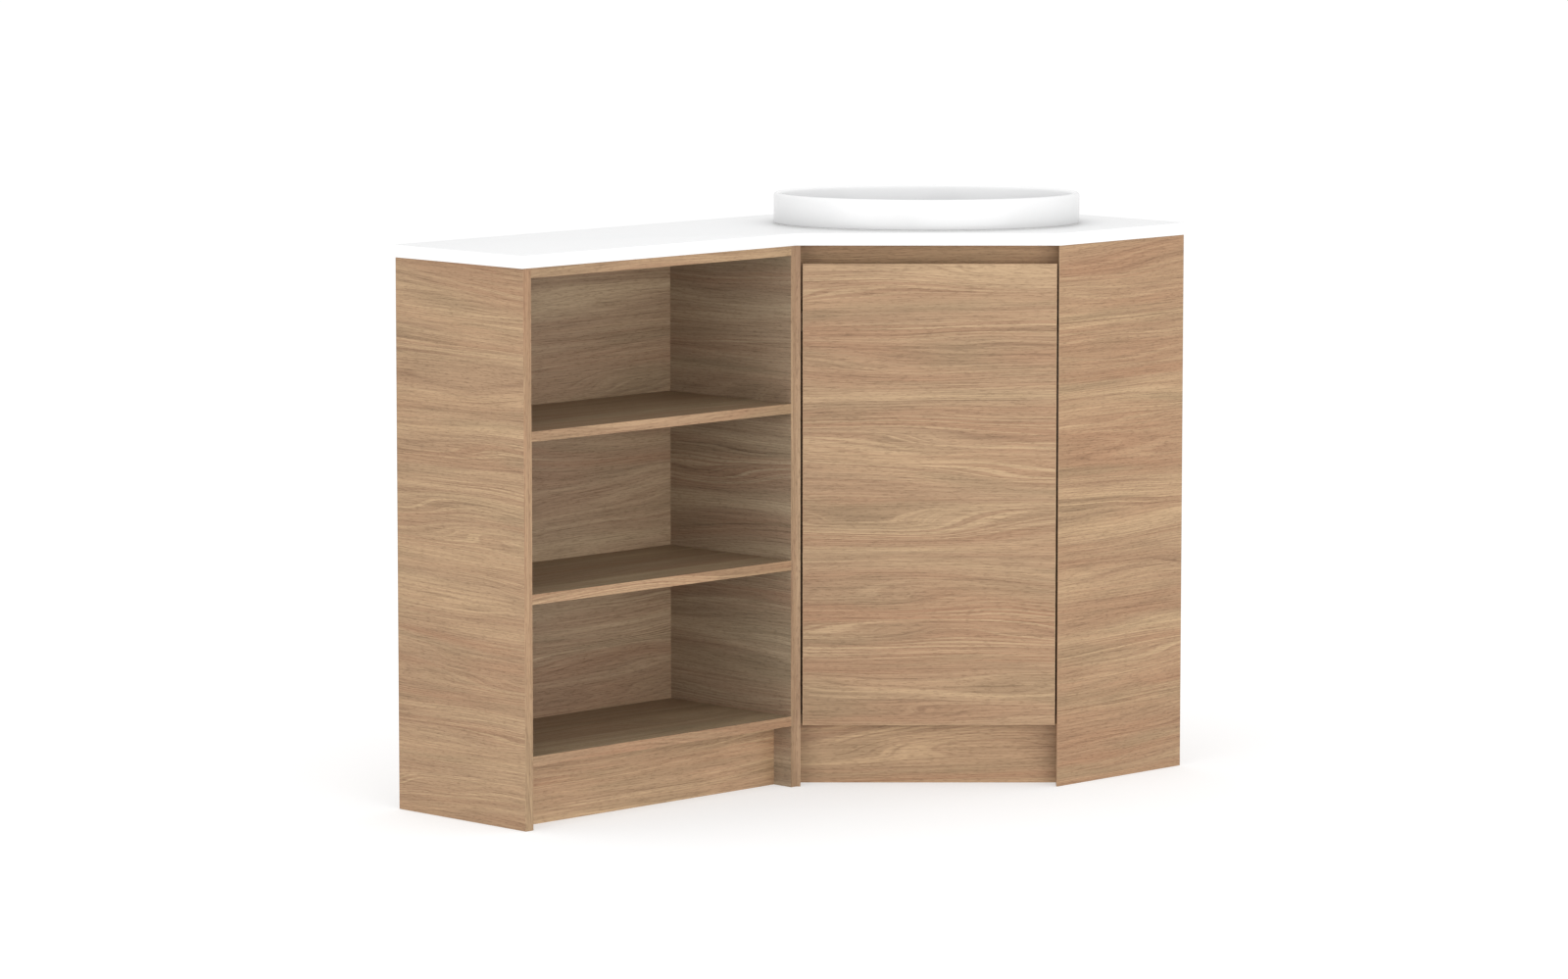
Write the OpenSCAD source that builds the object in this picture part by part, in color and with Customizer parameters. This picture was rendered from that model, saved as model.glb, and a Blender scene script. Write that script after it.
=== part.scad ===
/* [Overall] */
// Width of the worktop along the long wall
overall_w = 1200; // [1150:10:1300]
// Depth of the worktop from the wing's back to the return's front
overall_d = 600; // [580:10:640]
// Depth of the shelf wing's worktop
wing_d = 300; // [280:10:320]
// Length of the shelf wing's straight front
wing_w = 600; // [560:10:640]
// Height from the floor to the worktop's underside
carcass_h = 880; // [800:10:900]
/* [Boards] */
// Thickness of the carcass boards and of the door
board_t = 16; // [15:0.5:18]
// Thickness of the edge bands
band_t = 1; // [0.8:0.1:1.5]
// Height of the toe space under the bottom panels
kick_h = 100; // [80:5:150]
// How far the kickboards and the finger rail stand back
kick_recess = 40; // [30:1:50]
/* [Worktop] */
// Thickness of the worktop
top_t = 20; // [19:1:30]
// How far the worktop overhangs the fronts
front_overhang = 4; // [2:0.5:8]
// How far the worktop overhangs the left end panel
left_overhang = 6; // [2:0.5:8]
// Gap between the carcass and the side wall, which the return panel covers
wall_gap = 3; // [0:0.5:6]
/* [Door] */
// Gap at each side of the door
door_gap = 3; // [2.5:0.5:4]
// Height of the finger-pull gap above the door
pull_gap = 29.5; // [25:0.5:40]
// Distance from each end of the door to its hinge
hinge_inset = 95; // [90:5:120]
/* [Basin] */
// Length of the oval basin
basin_l = 500; // [480:5:510]
// Width of the oval basin
basin_w = 340; // [330:5:350]
// Height of the basin's wall above the worktop
basin_rise = 50; // [49:1:60]
// Depth of the bowl from its rim to its drain
bowl_depth = 105; // [95:1:106]
// Thickness of the rim
rim_t = 10; // [8:0.5:12]
// How far the plug lifts when it is open
plug_lift = 8; // [6:0.5:10]

/* [Hidden] */
$fn = 48;
root2 = sqrt(2);
// Overlap of a cutter past the face that it opens
eps = 0.01;
// The same, where nothing is near
over = 1;

// ---- Planes of the carcass ----
// Where the wing's front meets the diagonal, on the worktop's outline
knee = [wing_w - overall_w / 2, overall_d / 2 - wing_d];
left_x = -overall_w / 2 + left_overhang;
wall_x = overall_w / 2;
right_x = wall_x - wall_gap;
back_y = overall_d / 2;
front_y = knee[1] + front_overhang;
return_y = -overall_d / 2 + front_overhang;
inner_back_y = back_y - board_t;
inner_side_x = right_x - board_t;
inner_return_y = return_y + board_t;
// How far the divider's open-shelf face stands left of the knee
divider_lead = 9;
divider_x0 = knee[0] - divider_lead;
divider_x1 = divider_x0 + board_t;
wing_x0 = left_x + board_t;
// Depths measured square to the diagonal, from the worktop's edge
front_n = front_overhang;
door_back_n = front_n + board_t;
floor_n = door_back_n + 2;
kick_n = front_n + kick_recess;
rail_back_n = kick_n + board_t;

// y of the diagonal plane at depth n, and x of it
function diag_y(x, n) = knee[0] + knee[1] + n * root2 - x;
function diag_x(y, n) = knee[0] + knee[1] + n * root2 - y;
// Distance along the diagonal of a point in the row frame
function along(x, y) = ((x - knee[0]) - (y - knee[1])) / root2;
// Row-frame point at distance s along the diagonal and depth n
function spot(s, n) = [knee[0] + (s + n) / root2, knee[1] + (n - s) / root2];
// Evenly spaced values from a to b
function spread(a, b, count) = [for (i = [0:count - 1]) a + (b - a) * i / (count - 1)];

// Heights of the wing's four level boards
shelf_pitch = (carcass_h - board_t - kick_h) / 3;
shelf_z = [for (i = [0:3]) kick_h + i * shelf_pitch];

// ---- The door, along the diagonal and in height ----
divider_nose = along(divider_x1, diag_y(divider_x1, front_n));
return_nose = along(diag_x(return_y, front_n), return_y);
// Flat nose of the return, before its end turns square to the diagonal
return_lip = 1.8;
bevel_s = return_nose - return_lip;
bevel_xy = spot(bevel_s, front_n);
bevel_end_x = bevel_xy[0] + inner_return_y - bevel_xy[1];
door_s0 = divider_nose + door_gap;
door_s1 = bevel_s - door_gap;
door_z0 = kick_h + 0.5;
door_z1 = carcass_h - pull_gap;
bumper_r = 4.5;
bumper_t = 1.7;
bumper_in = 11;
bumper_z = [kick_h + board_t / 2, door_z1 - 95];

// ---- Hinges: one pivot each, inside the door near its right edge ----
hinge_z = [door_z0 + hinge_inset, door_z1 - hinge_inset];
pivot_s = door_s1 - 6.5;
pivot_n = front_n + 6;
pivot_xy = spot(pivot_s, pivot_n);
pin_r = 1.5;
pin_clear = 0.05;
eye_r = 3;
cup_s = door_s1 - 22;
cup_r = 17.5;
cup_fit = 0.05;
cup_depth = 12;
cup_wall = 1.2;
cup_floor = 1;
flange_t = 1.2;
flange_w = 16;
flange_h = 64;
// Slot through the door's edge that the arm swings in
slot_h = 13;
slot_w = 30;
slot_lead = 4;
ear_gap = 5;
ear_l = 12;
slot_clear = 0.1;
cup_screw_dz = [-25, 25];
cup_screw_l = 11;
// The cranked arm: a strap from the eye to over the plate
arm_t = 3;
// Sides of its round eye: none of their corners lies on the strap's faces
eye_sides = 42;
arm_h = 9.4;
arm_l = 60;
crank_reach = 14.5;
crank_angle = 105;
crank_xy = spot(pivot_s + crank_reach * cos(crank_angle),
    pivot_n + crank_reach * sin(crank_angle));
arm_y = crank_xy[1];
strap_angle = crank_angle - 45;
strap_way = [cos(strap_angle), sin(strap_angle)];
strap_side = [-strap_way[1], strap_way[0]] * arm_t / 2;
strap_root = pivot_xy + strap_way * (eye_r - 0.8);
strap_mitre = arm_t / 2 * tan(strap_angle / 2);
// The plate on the return: a block under the arm, and a cross wing with its screws
plate_x = crank_xy[0] + 22;
plate_l = 44;
plate_h = 16;
plate_top_y = arm_y - arm_t / 2;
wing_plate_x = plate_x + 12;
wing_plate_w = 16;
wing_plate_h = 52;
wing_plate_t = 2.5;
plate_screw_x = plate_x + 20;
plate_screw_dz = [-19, 19];
plate_screw_l = 13.5;
arm_screw_x = plate_x + plate_l / 2;
arm_screw_l = arm_t + 5;

// ---- Basin: half lengths of its ovals, and its levels ----
top_z = carcass_h + top_t;
sealant_t = 1;
rim_z = top_z + basin_rise;
bowl_z = rim_z - bowl_depth;
rim_a = basin_l / 2;
rim_b = basin_w / 2;
inner_a = rim_a - rim_t;
inner_b = rim_b - rim_t;
// Cut-out in the worktop, and the gap that the bowl leaves in it
cut_a = rim_a - 11;
cut_b = rim_b - 7;
cut_gap = 3;
lip_r = 0.45 * rim_t;
drain_r = 23;
floor_r = 33;
shell_t = 8;
seat_z = bowl_z - shell_t;
bowl_power = 2.6;
oval_sides = 48;
// The centre: midway along the diagonal, as far back as clears the finger rail
basin_s = (overall_d - wing_d) / root2;
basin_n = max(basin_s, rail_back_n + 0.89 * rim_b);
basin_mid = spot(basin_s, basin_n);
// How far the bowl reaches along X or Y just under the worktop
bowl_reach = 0.93 * sqrt((rim_a * rim_a + rim_b * rim_b) / 2);

// ---- Waste ----
tail_r = 20.95;
tail_bore_r = 17;
tail_z = bowl_z - 90;
waste_flange_r = 31.5;
waste_flange_t = 3;
seal_t = 0.5;
flange_z = bowl_z + seal_t;
washer_r = 32;
washer_t = 3;
nut_collar_t = 4;
nut_t = 14;
guide_r = 7;
guide_h = 30;
guide_z = bowl_z - 45;
guide_arm_t = 3;
guide_arm_h = 8;
plug_r = 30;
plug_z = flange_z + waste_flange_t + 1.2;
stem_r = 4;
stem_clear = 0.05;
// The stem still stands through the guide when the plug is up
stem_z = guide_z - plug_lift - 2;

// ---- Joinery ----
dowel_r = 4;
dowel_l = 30;
dowel_in = 10;
cam_r = 7.5;
cam_depth = 12.5;
cam_reach = 34;
cam_clear = 0.1;
bolt_r = 3;
bolt_in = 11;
screw_r = 2;
head_r = 3.8;
rail_h = 90;
stretcher_w = 80;
rear_stretcher_w = min(stretcher_w, inner_back_y - basin_mid[1] - bowl_reach);
side_stretcher_w = min(stretcher_w, inner_side_x - basin_mid[0] - bowl_reach);
// Holes for the screws into the walls, and the cut-out for the pipes
wall_hole_r = 2.5;
wall_hole_z = carcass_h - 40;
wall_hole_spacing = 400;
service_w = 200;
service_h = 260;
service_x = inner_side_x - 31 - service_w / 2;
service_z = 560;

oak = [0.72, 0.58, 0.44];
oak_edge = [0.75, 0.61, 0.47];
bare_beech = [0.85, 0.74, 0.55];
steel = [0.72, 0.73, 0.75];
rubber = [0.2, 0.2, 0.2];
silicone = [0.93, 0.93, 0.92];
bumper_grey = [0.85, 0.85, 0.85];

// A box between two corners
module block(a, b) {
    translate(a) cube([b[0] - a[0], b[1] - a[1], b[2] - a[2]]);
}
// A board cut from a plan outline, between two heights
module slab(outline, z0, z1) {
    translate([0, 0, z0]) linear_extrude(z1 - z0) polygon(outline);
}
// The frame of the diagonal: x runs along it, y goes into the cupboard
module diagonal() {
    translate([knee[0], knee[1], 0]) rotate([0, 0, -45]) children();
}
// Puts its children on the basin's centre, long axis along the diagonal
module at_basin() {
    translate([basin_mid[0], basin_mid[1], 0]) rotate([0, 0, -45]) children();
}

// ---- Joinery that the boards are drilled for ----
// Each entry is the point where the joint face is crossed, and the side it goes to.
// The corner's dowels stand between the wing's, because both enter the divider.
dowel_margin = 60;
cam_y = (knee[1] + back_y) / 2;
shelf_dowel_y = [knee[1] + dowel_margin, back_y - dowel_margin];
floor_dowel_y = [cam_y - 50, cam_y + 50];
floor_dowel_z = kick_h + board_t / 2;
stretcher_dowel_z = carcass_h - board_t / 2;
wing_back_dowel_z = [kick_h + 140, carcass_h - 140];
corner_back_dowel_z = spread(kick_h + 100, carcass_h - 100, 3);
case_screw_z = spread(kick_h + 50, carcass_h - 130, 3);
wing_dowel_at = concat(
    [for (z = shelf_z, y = shelf_dowel_y) [[wing_x0, y, z + board_t / 2], 1]],
    [for (z = shelf_z, y = shelf_dowel_y) [[divider_x0, y, z + board_t / 2], -1]],
    [for (z = wing_back_dowel_z) [[wing_x0, back_y - board_t / 2, z], 1]],
    [for (z = wing_back_dowel_z) [[divider_x0, back_y - board_t / 2, z], -1]]);
corner_dowel_x_at = concat(
    [for (y = floor_dowel_y) [[divider_x1, y, floor_dowel_z], 1]],
    [for (k = [0.25, 0.75]) [[divider_x1, inner_back_y - k * rear_stretcher_w, stretcher_dowel_z], 1]],
    [for (z = corner_back_dowel_z) [[divider_x1, back_y - board_t / 2, z], 1]],
    [for (y = spread(inner_return_y + dowel_margin, inner_back_y - dowel_margin, 3))
        [[inner_side_x, y, floor_dowel_z], -1]]);
corner_dowel_y_at = concat(
    [for (x = [bevel_end_x + dowel_margin, inner_side_x - dowel_margin])
        [[x, inner_return_y, floor_dowel_z], 1]],
    [for (k = [0.25, 0.75]) [[inner_side_x - k * side_stretcher_w, inner_return_y, stretcher_dowel_z], 1]],
    [for (z = case_screw_z) [[right_x - board_t / 2, inner_return_y, z], 1]],
    [for (x = spread(divider_x1 + dowel_margin, inner_side_x - dowel_margin, 3))
        [[x, inner_back_y, floor_dowel_z], -1]]);
cam_at = concat([for (z = shelf_z) [[wing_x0, cam_y, z], 1]],
    [for (z = shelf_z) [[divider_x0, cam_y, z], -1]]);
// The worktop's screws: three in the wing, and two in each stretcher beside the basin
wing_screw_margin = 85;
rear_screw_dx = [-200, 0];
side_screw_dy = [60, -120];
worktop_screw_at = concat(
    [for (x = spread(wing_x0 + wing_screw_margin, divider_x0 - wing_screw_margin, 3)) [x, cam_y]],
    [for (dx = rear_screw_dx) [basin_mid[0] + dx, inner_back_y - rear_stretcher_w / 2]],
    [for (dy = side_screw_dy) [inner_side_x - side_stretcher_w / 2, basin_mid[1] + dy]]);

// Round bars along X or Y that cross a joint face
module dowels_x(places) {
    for (p = places)
        translate(p[0] - [p[1] * dowel_in, 0, 0])
            rotate([0, p[1] * 90, 0]) cylinder(h = dowel_l, r = dowel_r);
}
module dowels_y(places) {
    for (p = places)
        translate(p[0] - [0, p[1] * dowel_in, 0])
            rotate([-p[1] * 90, 0, 0]) cylinder(h = dowel_l, r = dowel_r);
}
module wing_dowels() {
    dowels_x(wing_dowel_at);
}
module corner_dowels() {
    dowels_x(corner_dowel_x_at);
    dowels_y(corner_dowel_y_at);
}
// Bolts from the upright boards into the cams, at clearance c
module bolts(c = 0) {
    for (p = cam_at)
        translate(p[0] + [-p[1] * bolt_in, 0, board_t / 2])
            rotate([0, p[1] * 90, 0]) cylinder(h = bolt_in + cam_reach, r = bolt_r + c);
}
// Pockets for the cams, bored from below, or the cams themselves at clearance c
module cam_pockets(c = 0) {
    for (p = cam_at)
        translate(p[0] + [p[1] * cam_reach, 0, -eps])
            cylinder(h = cam_depth + eps - c, r = cam_r - c);
}
// Screws that come up through the boards into the worktop, without their heads
module top_screws() {
    for (p = worktop_screw_at)
        translate([p[0], p[1], carcass_h - board_t]) cylinder(h = board_t + 12, r = screw_r);
}
// Screws through the back panel into the side panel
module back_screws() {
    for (z = case_screw_z)
        translate([right_x - board_t / 2, back_y, z]) rotate([90, 0, 0]) {
            cylinder(h = 50, r = screw_r);
            cylinder(h = 3, r1 = 4.5, r2 = screw_r);
        }
}

// ---- Upright boards ----
// They stand on the floor and carry the worktop; bands cover their front edges
module left_end_panel() {
    color(oak) difference() {
        block([left_x, front_y + band_t, 0], [wing_x0, back_y, carcass_h]);
        wing_dowels();
        bolts();
    }
}
module left_end_edge_band() {
    color(oak_edge) block([left_x, front_y, 0], [wing_x0, front_y + band_t, carcass_h]);
}
// The divider's nose follows the worktop's outline: square, then along the diagonal
function nose(x0, x1, y, n) = [[x0, y], [diag_x(y, n), y], [x1, diag_y(x1, n)]];
module wing_divider() {
    outline = concat(nose(divider_x0, divider_x1, front_y + band_t, front_n + band_t),
        [[divider_x1, back_y], [divider_x0, back_y]]);
    color(oak) difference() {
        slab(outline, 0, carcass_h);
        wing_dowels();
        corner_dowels();
        bolts();
    }
}
module divider_edge_band() {
    outer = nose(divider_x0, divider_x1, front_y, front_n);
    inner = nose(divider_x0, divider_x1, front_y + band_t, front_n + band_t);
    color(oak_edge) slab([outer[0], outer[1], outer[2], inner[2], inner[1], inner[0]],
        0, carcass_h);
}
// The return's end is cut square to the diagonal, beside the door
module return_end_panel() {
    band = band_t / root2;
    color(oak) difference() {
        slab([[diag_x(return_y, front_n), return_y], [wall_x, return_y],
            [wall_x, inner_return_y], [bevel_end_x + 2 * band, inner_return_y],
            bevel_xy + [band, -band]], 0, carcass_h);
        corner_dowels();
        plate_screw_shafts();
    }
}
module return_edge_band() {
    band = band_t / root2;
    color(oak_edge) slab([bevel_xy, bevel_xy + [band, -band],
        [bevel_end_x + 2 * band, inner_return_y], [bevel_end_x, inner_return_y]],
        0, carcass_h);
}

// ---- Level boards of the wing ----
// One level board, drilled at both ends, with its underside at height z
module wing_board(z) {
    difference() {
        block([wing_x0, front_y + band_t, z], [divider_x0, inner_back_y, z + board_t]);
        wing_dowels();
        bolts();
        cam_pockets();
    }
}
module wing_top_panel() {
    color(oak) difference() {
        wing_board(shelf_z[3]);
        top_screws();
    }
}
module upper_shelf() {
    color(oak) wing_board(shelf_z[2]);
}
module lower_shelf() {
    color(oak) wing_board(shelf_z[1]);
}
module wing_bottom_panel() {
    color(oak) wing_board(shelf_z[0]);
}
module shelf_edge_bands() {
    color(oak_edge) for (z = shelf_z)
        block([wing_x0, front_y, z], [divider_x0, front_y + band_t, z + board_t]);
}
module wing_back_panel() {
    color(oak) difference() {
        block([wing_x0, inner_back_y, kick_h], [divider_x0, back_y, carcass_h]);
        wing_dowels();
    }
}
module wing_kickboard() {
    y = front_y + kick_recess;
    color(oak) block([wing_x0, y, 0], [divider_x0, y + board_t, kick_h]);
}

// ---- Boards of the corner cupboard ----
module corner_floor_panel() {
    color(oak) difference() {
        slab([[divider_x1, diag_y(divider_x1, floor_n)],
            [diag_x(inner_return_y, floor_n), inner_return_y],
            [inner_side_x, inner_return_y], [inner_side_x, inner_back_y],
            [divider_x1, inner_back_y]], kick_h, kick_h + board_t);
        corner_dowels();
    }
}
// The back and side panels have screw holes to the walls; the back is cut out for the pipes
module corner_back_panel() {
    color(oak) difference() {
        block([divider_x1, inner_back_y, 0], [right_x, back_y, carcass_h]);
        translate([service_x - service_w / 2, inner_back_y - over, service_z - service_h / 2])
            cube([service_w, board_t + 2 * over, service_h]);
        for (side = [-1, 1])
            translate([basin_mid[0] + side * wall_hole_spacing / 2, back_y + over, wall_hole_z])
                rotate([90, 0, 0]) cylinder(h = board_t + 2 * over, r = wall_hole_r);
        corner_dowels();
        back_screws();
    }
}
module corner_side_panel() {
    color(oak) difference() {
        block([inner_side_x, inner_return_y, 0], [right_x, inner_back_y, carcass_h]);
        for (side = [-1, 1])
            translate([inner_side_x - over, side * wall_hole_spacing / 2, wall_hole_z])
                rotate([0, 90, 0]) cylinder(h = board_t + 2 * over, r = wall_hole_r);
        corner_dowels();
        back_screws();
    }
}
// A board along the diagonal, fitted between the divider and the return
module diagonal_board(n, z0, z1) {
    slab([[divider_x1, diag_y(divider_x1, n)],
        [diag_x(inner_return_y, n), inner_return_y],
        [diag_x(inner_return_y, n + board_t), inner_return_y],
        [divider_x1, diag_y(divider_x1, n + board_t)]], z0, z1);
}
module corner_kickboard() {
    color(oak) diagonal_board(kick_n, 0, kick_h);
}
module finger_rail() {
    color(oak) diagonal_board(kick_n, carcass_h - rail_h, carcass_h);
}
module rear_stretcher() {
    color(oak) difference() {
        block([divider_x1, inner_back_y - rear_stretcher_w, carcass_h - board_t],
            [inner_side_x, inner_back_y, carcass_h]);
        corner_dowels();
        top_screws();
    }
}
module side_stretcher() {
    color(oak) difference() {
        block([inner_side_x - side_stretcher_w, inner_return_y, carcass_h - board_t],
            [inner_side_x, inner_back_y - rear_stretcher_w, carcass_h]);
        corner_dowels();
        top_screws();
    }
}
// Block on the divider that the closed door's upper bumper rests against
module door_stop_block() {
    x1 = divider_x1 + 33;
    y0 = diag_y(divider_x1, floor_n);
    y1 = diag_y(x1, floor_n);
    color(oak) slab([[divider_x1, y0], [x1, y1], [x1, y1 + 20], [divider_x1, y0 + 30]],
        bumper_z[1] - 15, bumper_z[1] + 15);
}
// Three-cornered blocks glued into both ends of a board along the diagonal
module corner_blocks(z0, z1) {
    left = [divider_x1, diag_y(divider_x1, rail_back_n)];
    right = [diag_x(inner_return_y, rail_back_n), inner_return_y];
    slab([left, left + [24, -24], left + [0, 34]], z0, z1);
    slab([right, right + [34, 0], right + [-24, 24]], z0, z1);
}
module glue_blocks() {
    w = 30;
    y = front_y + kick_recess + board_t;
    color(bare_beech) {
        corner_blocks(10, kick_h - 10);
        corner_blocks(carcass_h - rail_h + 5, carcass_h - 5);
        for (x = [wing_x0, divider_x0 - w])
            block([x, y, 10], [x + w, y + w, kick_h - 10]);
    }
}

// ---- Fittings ----
module wooden_dowels() {
    color(bare_beech) {
        wing_dowels();
        corner_dowels();
    }
}
module cam_locks() {
    color(steel) difference() {
        cam_pockets(cam_clear);
        bolts(cam_clear);
    }
}
module cam_bolts() {
    color(steel) bolts();
}
module case_screws() {
    color(steel) back_screws();
}
module worktop_screws() {
    color(steel) {
        top_screws();
        for (p = worktop_screw_at)
            translate([p[0], p[1], carcass_h - board_t - 2]) cylinder(h = 2, r = head_r);
    }
}

// ---- Worktop and basin ----
// An oval outline with half lengths a and b
function oval(a, b) = [for (i = [0:oval_sides - 1])
    [a * cos(i * 360 / oval_sides), b * sin(i * 360 / oval_sides)]];
module worktop() {
    color("white") difference() {
        slab([[-wall_x, knee[1]], knee, [diag_x(-back_y, 0), -back_y], [wall_x, -back_y],
            [wall_x, back_y], [-wall_x, back_y]], carcass_h, top_z);
        at_basin() translate([0, 0, carcass_h - over])
            linear_extrude(top_t + 2 * over) polygon(oval(cut_a, cut_b));
        top_screws();
    }
}
// Height of the bowl's inner face above its floor, as a share of the depth,
// where w runs from 0 at the flat floor's edge to 1 at the rim
function bowl_share(w) = 1 - pow(1 - pow(w, bowl_power), 1 / bowl_power);
// A ring of the bowl's wall at w: t is 0 on its inner face and shell_t on its outer
function bowl_ring(w, t = 0) = [
    floor_r + (inner_a - floor_r) * w + t * pow(w, 1.8),
    floor_r + (inner_b - floor_r) * w + t * pow(w, 1.8),
    bowl_z + bowl_depth * bowl_share(w) - t * sqrt(1 - pow(w, 3.6))];
// The section's rings, each [half length, half width, height], once round the wall
rounding = [0, 30, 60, 90];
bowl_rings = concat(
    [[drain_r, drain_r, seat_z]],
    [[floor_r + 2, floor_r + 2, seat_z]],
    [for (w = [0.2, 0.4, 0.6, 0.72, 0.82, 0.89]) bowl_ring(w, shell_t)],
    [[cut_a - cut_gap, cut_b - cut_gap, top_z - 6]],
    [[cut_a - cut_gap, cut_b - cut_gap, top_z + sealant_t]],
    [[rim_a, rim_b, top_z + sealant_t]],
    [for (t = rounding) [rim_a - lip_r * (1 - cos(t)), rim_b - lip_r * (1 - cos(t)),
        rim_z - lip_r * (1 - sin(t))]],
    [for (t = rounding) [inner_a + lip_r * (1 - sin(t)), inner_b + lip_r * (1 - sin(t)),
        rim_z - lip_r * (1 - cos(t))]],
    [for (w = [0.985, 0.95, 0.89, 0.8, 0.68, 0.5, 0.3, 0.12, 0]) bowl_ring(w)],
    [[drain_r, drain_r, bowl_z]]);
module basin() {
    rings = len(bowl_rings);
    sides = oval_sides;
    points = [for (r = bowl_rings, i = [0:sides - 1])
        [r[0] * cos(i * 360 / sides), r[1] * sin(i * 360 / sides), r[2]]];
    faces = [for (k = [0:rings - 1], i = [0:sides - 1], half = [0, 1])
        let (n = (k + 1) % rings, j = (i + 1) % sides)
        half == 0 ? [k * sides + i, n * sides + i, n * sides + j]
            : [k * sides + i, n * sides + j, k * sides + j]];
    color("white") at_basin() polyhedron(points = points, faces = faces, convexity = 6);
}
module basin_sealant() {
    color(silicone) at_basin() translate([0, 0, top_z])
        linear_extrude(sealant_t) difference() {
            polygon(oval(rim_a - 2, rim_b - 2));
            polygon(oval(cut_a + 1, cut_b + 1));
        }
}

// ---- Waste ----
// A turned tube with a flange in the bowl's drain
module waste_body() {
    color(steel) at_basin()
        rotate_extrude() polygon([[tail_bore_r, tail_z], [tail_r, tail_z], [tail_r, flange_z],
            [waste_flange_r, flange_z], [waste_flange_r, flange_z + 1],
            [waste_flange_r - 3, flange_z + waste_flange_t],
            [tail_bore_r + 3, flange_z + waste_flange_t], [tail_bore_r, bowl_z]]);
}
// A hub on three arms, which fits the tube and guides the plug's stem
module waste_guide() {
    color(steel) at_basin() translate([0, 0, guide_z]) difference() {
        union() {
            cylinder(h = guide_h, r = guide_r);
            intersection() {
                cylinder(h = guide_arm_h, r = tail_bore_r);
                for (a = [0, 120, 240])
                    rotate([0, 0, a]) translate([0, -guide_arm_t / 2, -over])
                        cube([tail_bore_r + over, guide_arm_t, guide_arm_h + 2 * over]);
            }
        }
        translate([0, 0, -over]) cylinder(h = guide_h + 2 * over, r = stem_r + stem_clear);
    }
}
// A flat ring from radius r0 to r1, between two heights
module ring(r0, r1, z0, z1) {
    translate([0, 0, z0]) difference() {
        cylinder(h = z1 - z0, r = r1);
        translate([0, 0, -over]) cylinder(h = z1 - z0 + 2 * over, r = r0);
    }
}
module waste_top_seal() {
    color(rubber) at_basin() ring(drain_r + 1, waste_flange_r - 2, bowl_z, flange_z);
}
module waste_washer() {
    color(rubber) at_basin() ring(tail_r + 0.1, washer_r, seat_z - washer_t, seat_z);
}
// A round collar with a six-sided nut under it
module waste_back_nut() {
    collar_z = nut_t - nut_collar_t;
    color(steel) at_basin() translate([0, 0, seat_z - washer_t - nut_t]) difference() {
        union() {
            translate([0, 0, collar_z]) cylinder(h = nut_collar_t, r = washer_r - 1);
            cylinder(h = collar_z, r = washer_r - 3, $fn = 6);
        }
        translate([0, 0, -over]) cylinder(h = nut_t + 2 * over, r = tail_r + 0.05);
    }
}
// The domed plug on its stem, drawn closed
module plug() {
    color(steel) at_basin() {
        rotate_extrude() polygon([[0, plug_z], [plug_r - 1, plug_z], [plug_r, plug_z + 1],
            [plug_r, plug_z + 2], [plug_r - 4, plug_z + 4], [plug_r - 14, plug_z + 5.5],
            [0, plug_z + 6]]);
        translate([0, 0, stem_z]) cylinder(h = plug_z - stem_z + over, r = stem_r);
    }
}
module plug_seal() {
    color(rubber) at_basin() ring(stem_r + 6, 19.5, plug_z - 0.8, plug_z);
}

// ---- Door ----
// Drawn in the diagonal's frame: s along it, n into the cupboard, z up
module hinge_slot(z, depth) {
    translate([pivot_s - slot_lead, depth, z - slot_h / 2]) cube([slot_w, board_t + 6, slot_h]);
}
// Round pocket and side slot for a hinge, open at the door's back and edge
module hinge_pocket(z) {
    translate([cup_s, door_back_n + over, z]) rotate([90, 0, 0])
        cylinder(h = cup_depth + over, r = cup_r);
    hinge_slot(z, front_n + 2.6);
}
// Screws of the cups, without their heads
module cup_screw_shafts() {
    for (z = hinge_z, dz = cup_screw_dz)
        translate([cup_s, door_back_n - cup_screw_l, z + dz]) rotate([-90, 0, 0])
            cylinder(h = cup_screw_l + flange_t, r = screw_r);
}
module door_panel() {
    color(oak) diagonal() difference() {
        block([door_s0 + band_t, front_n, door_z0 + band_t],
            [door_s1 - band_t, door_back_n, door_z1 - band_t]);
        for (z = hinge_z) hinge_pocket(z);
        cup_screw_shafts();
    }
}
module door_edge_bands() {
    color(oak_edge) diagonal() difference() {
        union() {
            for (s = [door_s0, door_s1 - band_t])
                block([s, front_n, door_z0], [s + band_t, door_back_n, door_z1]);
            for (z = [door_z0, door_z1 - band_t])
                block([door_s0 + band_t, front_n, z], [door_s1 - band_t, door_back_n, z + band_t]);
        }
        for (z = hinge_z) hinge_pocket(z);
    }
}
module door_bumpers() {
    color(bumper_grey) diagonal() for (z = bumper_z)
        translate([door_s0 + bumper_in, door_back_n, z]) rotate([-90, 0, 0])
            cylinder(h = bumper_t, r = bumper_r);
}

// ---- Hinges ----
// A cup with a flange on the door's back, and two ears that hold the pin
module hinge_cup(z) {
    color(steel) diagonal() translate([0, 0, z]) {
        difference() {
            union() {
                translate([cup_s, door_back_n + flange_t, 0]) rotate([90, 0, 0])
                    cylinder(h = cup_depth + flange_t, r = cup_r - cup_fit);
                translate([cup_s - flange_w / 2, door_back_n, -flange_h / 2])
                    cube([flange_w, flange_t, flange_h]);
            }
            translate([cup_s, door_back_n + 2 * over, 0]) rotate([90, 0, 0])
                cylinder(h = cup_depth - cup_floor + 2 * over, r = cup_r - cup_wall);
            hinge_slot(0, front_n);
            for (dz = cup_screw_dz)
                translate([cup_s, door_back_n - over, dz]) rotate([-90, 0, 0])
                    cylinder(h = flange_t + 2 * over, r = screw_r);
        }
        for (side = [-1, 1])
            hinge_ear(side);
    }
}
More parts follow.
